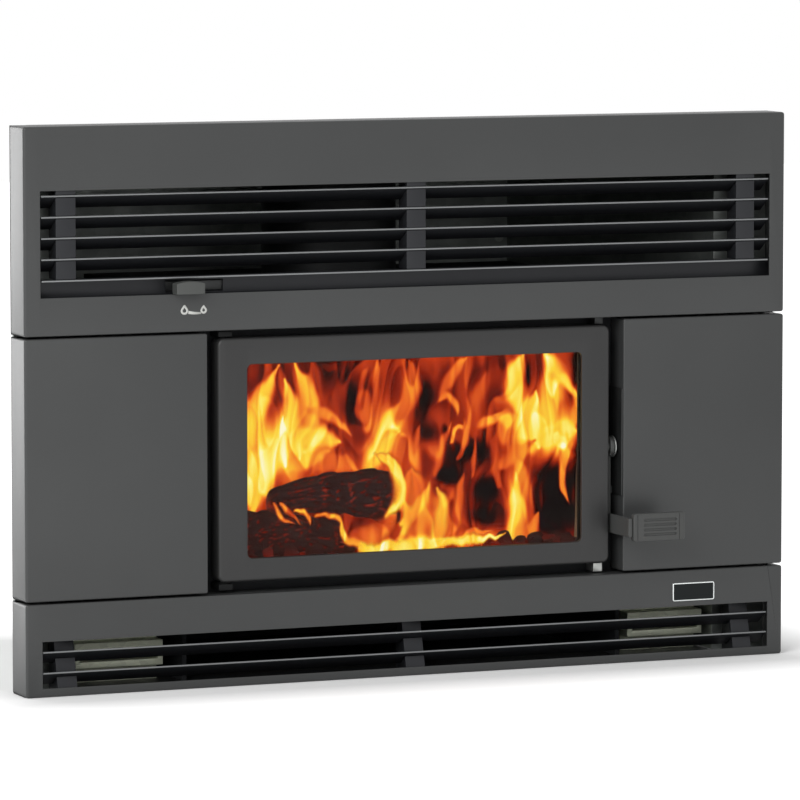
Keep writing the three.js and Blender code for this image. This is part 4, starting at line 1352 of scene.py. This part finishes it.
class INSERT_OT_logs(bpy.types.Operator):
    """Lays the burning logs and the bed of embers"""

    bl_idname = "insert.logs"
    bl_label = "Logs and embers"

    def execute(self, context):
        self.log("log_front", (-0.144, 0.024, 0.189), (0.008, 0.026, 0.194), (0.014, 0.0285), 41)
        self.log("log_left", (-0.190, 0.028, 0.152), (-0.055, 0.022, 0.150), (0.024, 0.017), 47)
        self.log("log_back", (-0.150, 0.150, 0.150), (0.170, 0.110, 0.158), (0.030, 0.026), 43)
        self.embers()
        return {"FINISHED"}

    def log(self, name, start, end, radii, seed):
        """A split log: a lumpy, cracked round with broken ends."""
        start, end = Vector(start), Vector(end)
        axis = (end - start).normalized()
        side = axis.cross(Vector((0, 0, 1))).normalized()
        up = side.cross(axis)
        steps, turns = 120, 72
        splits = 26  # cells of cracked bark round the log
        u = np.linspace(0, 1, steps)[:, None]
        a = np.linspace(0, 2 * np.pi, turns, endpoint=False)[None, :]
        along = u * (end - start).length
        lumps = 0.16 * ripple(along / 0.05 + 7, 2 * np.cos(a) + 5, seed)
        lumps = lumps + 0.14 * ripple(along / 0.045 + 3, 2 * np.sin(a) + 9, seed + 1)
        wander = 0.4 * ripple(along / 0.02, a * 2, seed)
        cracks = np.abs(ripple(along / 0.030, a / (2 * np.pi) * splits + wander, seed + 2))
        bark = 0.90 + 0.22 * np.clip(cracks * 3, 0, 1)
        ends = np.clip(np.minimum(along, along[-1] - along) / 0.006, 0, 1) ** 0.5
        radius = (radii[0] + (radii[1] - radii[0]) * u) * (1 + lumps) * bark * (0.35 + 0.65 * ends)
        bend = 0.006 * np.sin(np.pi * u * 1.3)
        points = np.array(start) + u[..., None] * np.array(end - start)
        points = points + (radius * np.cos(a))[..., None] * np.array(side)
        points = points + (radius * np.sin(a) + bend)[..., None] * np.array(up)
        faces = tube_faces(steps, turns, closed=False)
        faces.append(tuple(range(turns))[::-1])
        faces.append(tuple(range((steps - 1) * turns, steps * turns)))
        log = piece_of(name, (points.reshape(-1, 3).tolist(), [], faces), finish("wood"))
        mesh = bmesh.new()
        mesh.from_mesh(log.data)
        bmesh.ops.recalc_face_normals(mesh, faces=mesh.faces)
        mesh.to_mesh(log.data)
        mesh.free()
        put_values(log, "warmth", np.clip(0.30 - cracks * 4, 0, 0.30) + 0.08)
        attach(log, "body")

    def embers(self):
        """Lumps of coal over the hearth bricks, hottest in front at the right of the middle."""
        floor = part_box("floor_firebrick")[1].z
        lumps, in_front = 420, 150
        rng = np.random.default_rng(12)
        verts, faces, heats = [], [], []
        shape = bmesh.new()
        bmesh.ops.create_icosphere(shape, subdivisions=2, radius=1)
        ball = np.array([v.co for v in shape.verts])
        triangles = np.array([[v.index for v in f.verts] for f in shape.faces])
        shape.free()
        for lump in range(lumps):
            x = rng.uniform(-0.214, 0.224)
            y = rng.uniform(0.008, 0.260) if lump > in_front else rng.uniform(0.004, 0.045)
            size = rng.uniform(0.004, 0.0105)
            stretch = rng.uniform(0.6, 1.3, 3)
            rough = 1 + 0.18 * rng.standard_normal(len(ball))
            turn = rng.uniform(0, 2 * np.pi)
            c, s = math.cos(turn), math.sin(turn)
            points = (ball * rough[:, None] * size * stretch) @ [[c, -s, 0], [s, c, 0], [0, 0, 1]]
            level = floor + 0.004 + rng.uniform(0, 0.012)
            faces += (triangles + len(verts)).tolist()
            verts += (points + [x, y, level]).tolist()
            hot = math.exp(-(((x - 0.045) / 0.075) ** 2)) * rng.uniform(0.35, 1.05)
            cool = rng.uniform(0.0, 0.30)
            under = np.clip(0.5 - points[:, 2] / size * 0.35, 0, 1)
            heats += (max(hot, cool) * (0.55 + 0.6 * under)).tolist()
        bed = piece_of("ember_bed", (verts, [], faces), finish("ember"))
        put_values(bed, "warmth", np.clip(heats, 0, 1))
        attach(bed, "body")


class INSERT_OT_stage(bpy.types.Operator):
    """Sets the floor, the lamps, the sky and the camera"""

    bl_idname = "insert.stage"
    bl_label = "Stage"

    white = (1, 1, 1, 1)
    floor_reach, floor_drop = 9, 0.0005  # metres from the middle to the floor's edges, and below the object
    # The key lamp stands high at the left in front, the side lamp low at the left behind: place and width.
    key_lamp = (-2.5, -2.3, 2.3), 2.0
    side_lamp = (-1.6, 2.7, 0.45), 1.8
    lit_point = (0, 0, 0.3)
    # The camera is fitted to the fascia's corners: left of the middle and a little above it.
    eye = (-2.4712, -5.8485, 0.9063)
    dip, turn = math.radians(5.46), math.radians(-22.92)
    lens, sensor = 261, 36  # millimetres
    farthest = 60

    def execute(self, context):
        stage = context.scene.insert_stage
        context.scene.view_settings.view_transform = "Standard"
        self.floor(stage)
        self.sky(stage)
        self.lamp("key", *self.key_lamp, stage.key)
        self.lamp("side", *self.side_lamp, stage.side)
        self.camera()
        return {"FINISHED"}

    def floor(self, stage):
        """Matt paper that takes the object's shadow close by, and turns plain white away from it."""
        material, tree = blank_material("floor")
        place = add(tree, COORDS).outputs["Object"]
        cloud = add(tree, NOISE, {"Vector": place, "Scale": 4, "Detail": 2})
        level = add(tree, RANGE, {**MOST, "Value": cloud, "To Min": 0.995, "To Max": 1.005})
        tone = add(tree, TINT, {"Color": stage.floor, "Value": level})
        low, high = CAD_BOX
        off_middle = add(tree, VECTOR, {0: place, 1: (low + high) / 2}, operation="SUBTRACT")
        one_side = add(tree, VECTOR, {0: off_middle}, operation="ABSOLUTE")
        outside = add(tree, VECTOR, {0: one_side, 1: (high - low) / 2}, operation="SUBTRACT")
        positive = add(tree, VECTOR, {0: outside, 1: (0, 0, 0)}, operation="MAXIMUM")
        level_only = add(tree, VECTOR, {0: positive, 1: (1, 1, 0)}, operation="MULTIPLY")
        away = add(tree, VECTOR, {0: level_only}, operation="LENGTH").outputs["Value"]
        fade = {"From Max": 0.16, "To Min": 0.05, "To Max": 0.75}  # metres away, and light added there
        added = add(tree, RANGE, {**fade, "Value": away})
        strength = add(tree, MATHS, {0: added, 1: self.straight_to_eye(tree)}, operation="MULTIPLY")
        shine = add(tree, "ShaderNodeEmission", {"Color": self.white, "Strength": strength})
        matt = add(tree, "ShaderNodeBsdfDiffuse", {"Color": tone})
        both = add(tree, "ShaderNodeAddShader", {0: matt, 1: shine})
        add(tree, "ShaderNodeOutputMaterial", {"Surface": both})
        r = self.floor_reach
        corners = [(x, y, -self.floor_drop) for x, y in ((-r, -r), (r, -r), (r, r), (-r, r))]
        piece_of("floor", (corners, [], [(0, 1, 2, 3)]), material)

    def straight_to_eye(self, tree):
        """1 for what the camera, metal and glass see, and 0 for the light given off."""
        path = add(tree, "ShaderNodeLightPath").outputs
        seen = add(tree, MATHS, {0: path["Is Camera Ray"], 1: path["Is Glossy Ray"]}, operation="MAXIMUM")
        return add(tree, MATHS, {0: seen, 1: path["Is Transmission Ray"]}, operation="MAXIMUM")

    def sky(self, stage):
        """A plain white sky, with a set strength as a light."""
        world = bpy.data.worlds.new("sky")
        world.use_nodes = True
        tree = world.node_tree
        tree.nodes.clear()
        strength = add(tree, RANGE, {"Value": self.straight_to_eye(tree), "To Min": stage.sky})
        light = add(tree, "ShaderNodeBackground", {"Color": self.white, "Strength": strength})
        add(tree, "ShaderNodeOutputWorld", {"Surface": light})
        bpy.context.scene.world = world

    def lamp(self, name, place, size, strength):
        data = bpy.data.lights.new(name, "AREA")
        data.size, data.energy = size, strength
        lamp = bpy.data.objects.new(name, data)
        lamp.location = place
        lamp.visible_camera = False
        lamp.rotation_euler = (Vector(self.lit_point) - Vector(place)).to_track_quat("-Z", "Y").to_euler()
        bpy.context.scene.collection.objects.link(lamp)

    def camera(self):
        data = bpy.data.cameras.new("camera")
        data.sensor_width, data.lens, data.clip_end = self.sensor, self.lens, self.farthest
        camera = bpy.data.objects.new("camera", data)
        camera.location = self.eye
        camera.rotation_euler = (math.pi / 2 - self.dip, 0, self.turn)
        bpy.context.scene.collection.objects.link(camera)
        bpy.context.scene.camera = camera


OPERATORS = (
    INSERT_OT_fascia,
    INSERT_OT_louvres,
    INSERT_OT_air_control,
    INSERT_OT_door,
    INSERT_OT_handle,
    INSERT_OT_door_fittings,
    INSERT_OT_casing,
    INSERT_OT_blowers,
    INSERT_OT_firebox,
    INSERT_OT_logs,
    INSERT_OT_flames,
    INSERT_OT_stage,
)
SETTINGS = (
    ("insert_paint", PaintSettings),
    ("insert_sheet", SheetSettings),
    ("insert_fire", FireSettings),
    ("insert_stage", StageSettings),
)


class INSERT_PT_panel(bpy.types.Panel):
    """Lists the settings and the steps in the order of making"""

    bl_idname = "INSERT_PT_panel"
    bl_label = "Inset fire"
    bl_space_type = "VIEW_3D"
    bl_region_type = "UI"
    bl_category = "Inset fire"

    def draw(self, context):
        for attribute, group in SETTINGS:
            column = self.layout.column()
            for label in group.__annotations__:
                column.prop(getattr(context.scene, attribute), label)
        for operator in OPERATORS:
            self.layout.operator(operator.bl_idname)


def register():
    for attribute, group in SETTINGS:
        bpy.utils.register_class(group)
        setattr(bpy.types.Scene, attribute, bpy.props.PointerProperty(type=group))
    for cls in OPERATORS + (INSERT_PT_panel,):
        bpy.utils.register_class(cls)


def unregister():
    for cls in reversed(OPERATORS + (INSERT_PT_panel,)):
        bpy.utils.unregister_class(cls)
    for attribute, group in reversed(SETTINGS):
        delattr(bpy.types.Scene, attribute)
        bpy.utils.unregister_class(group)


def main():
    register()
    for operator in OPERATORS:
        getattr(bpy.ops.insert, operator.bl_idname.split(".")[1])()


if __name__ == "__main__":
    main()
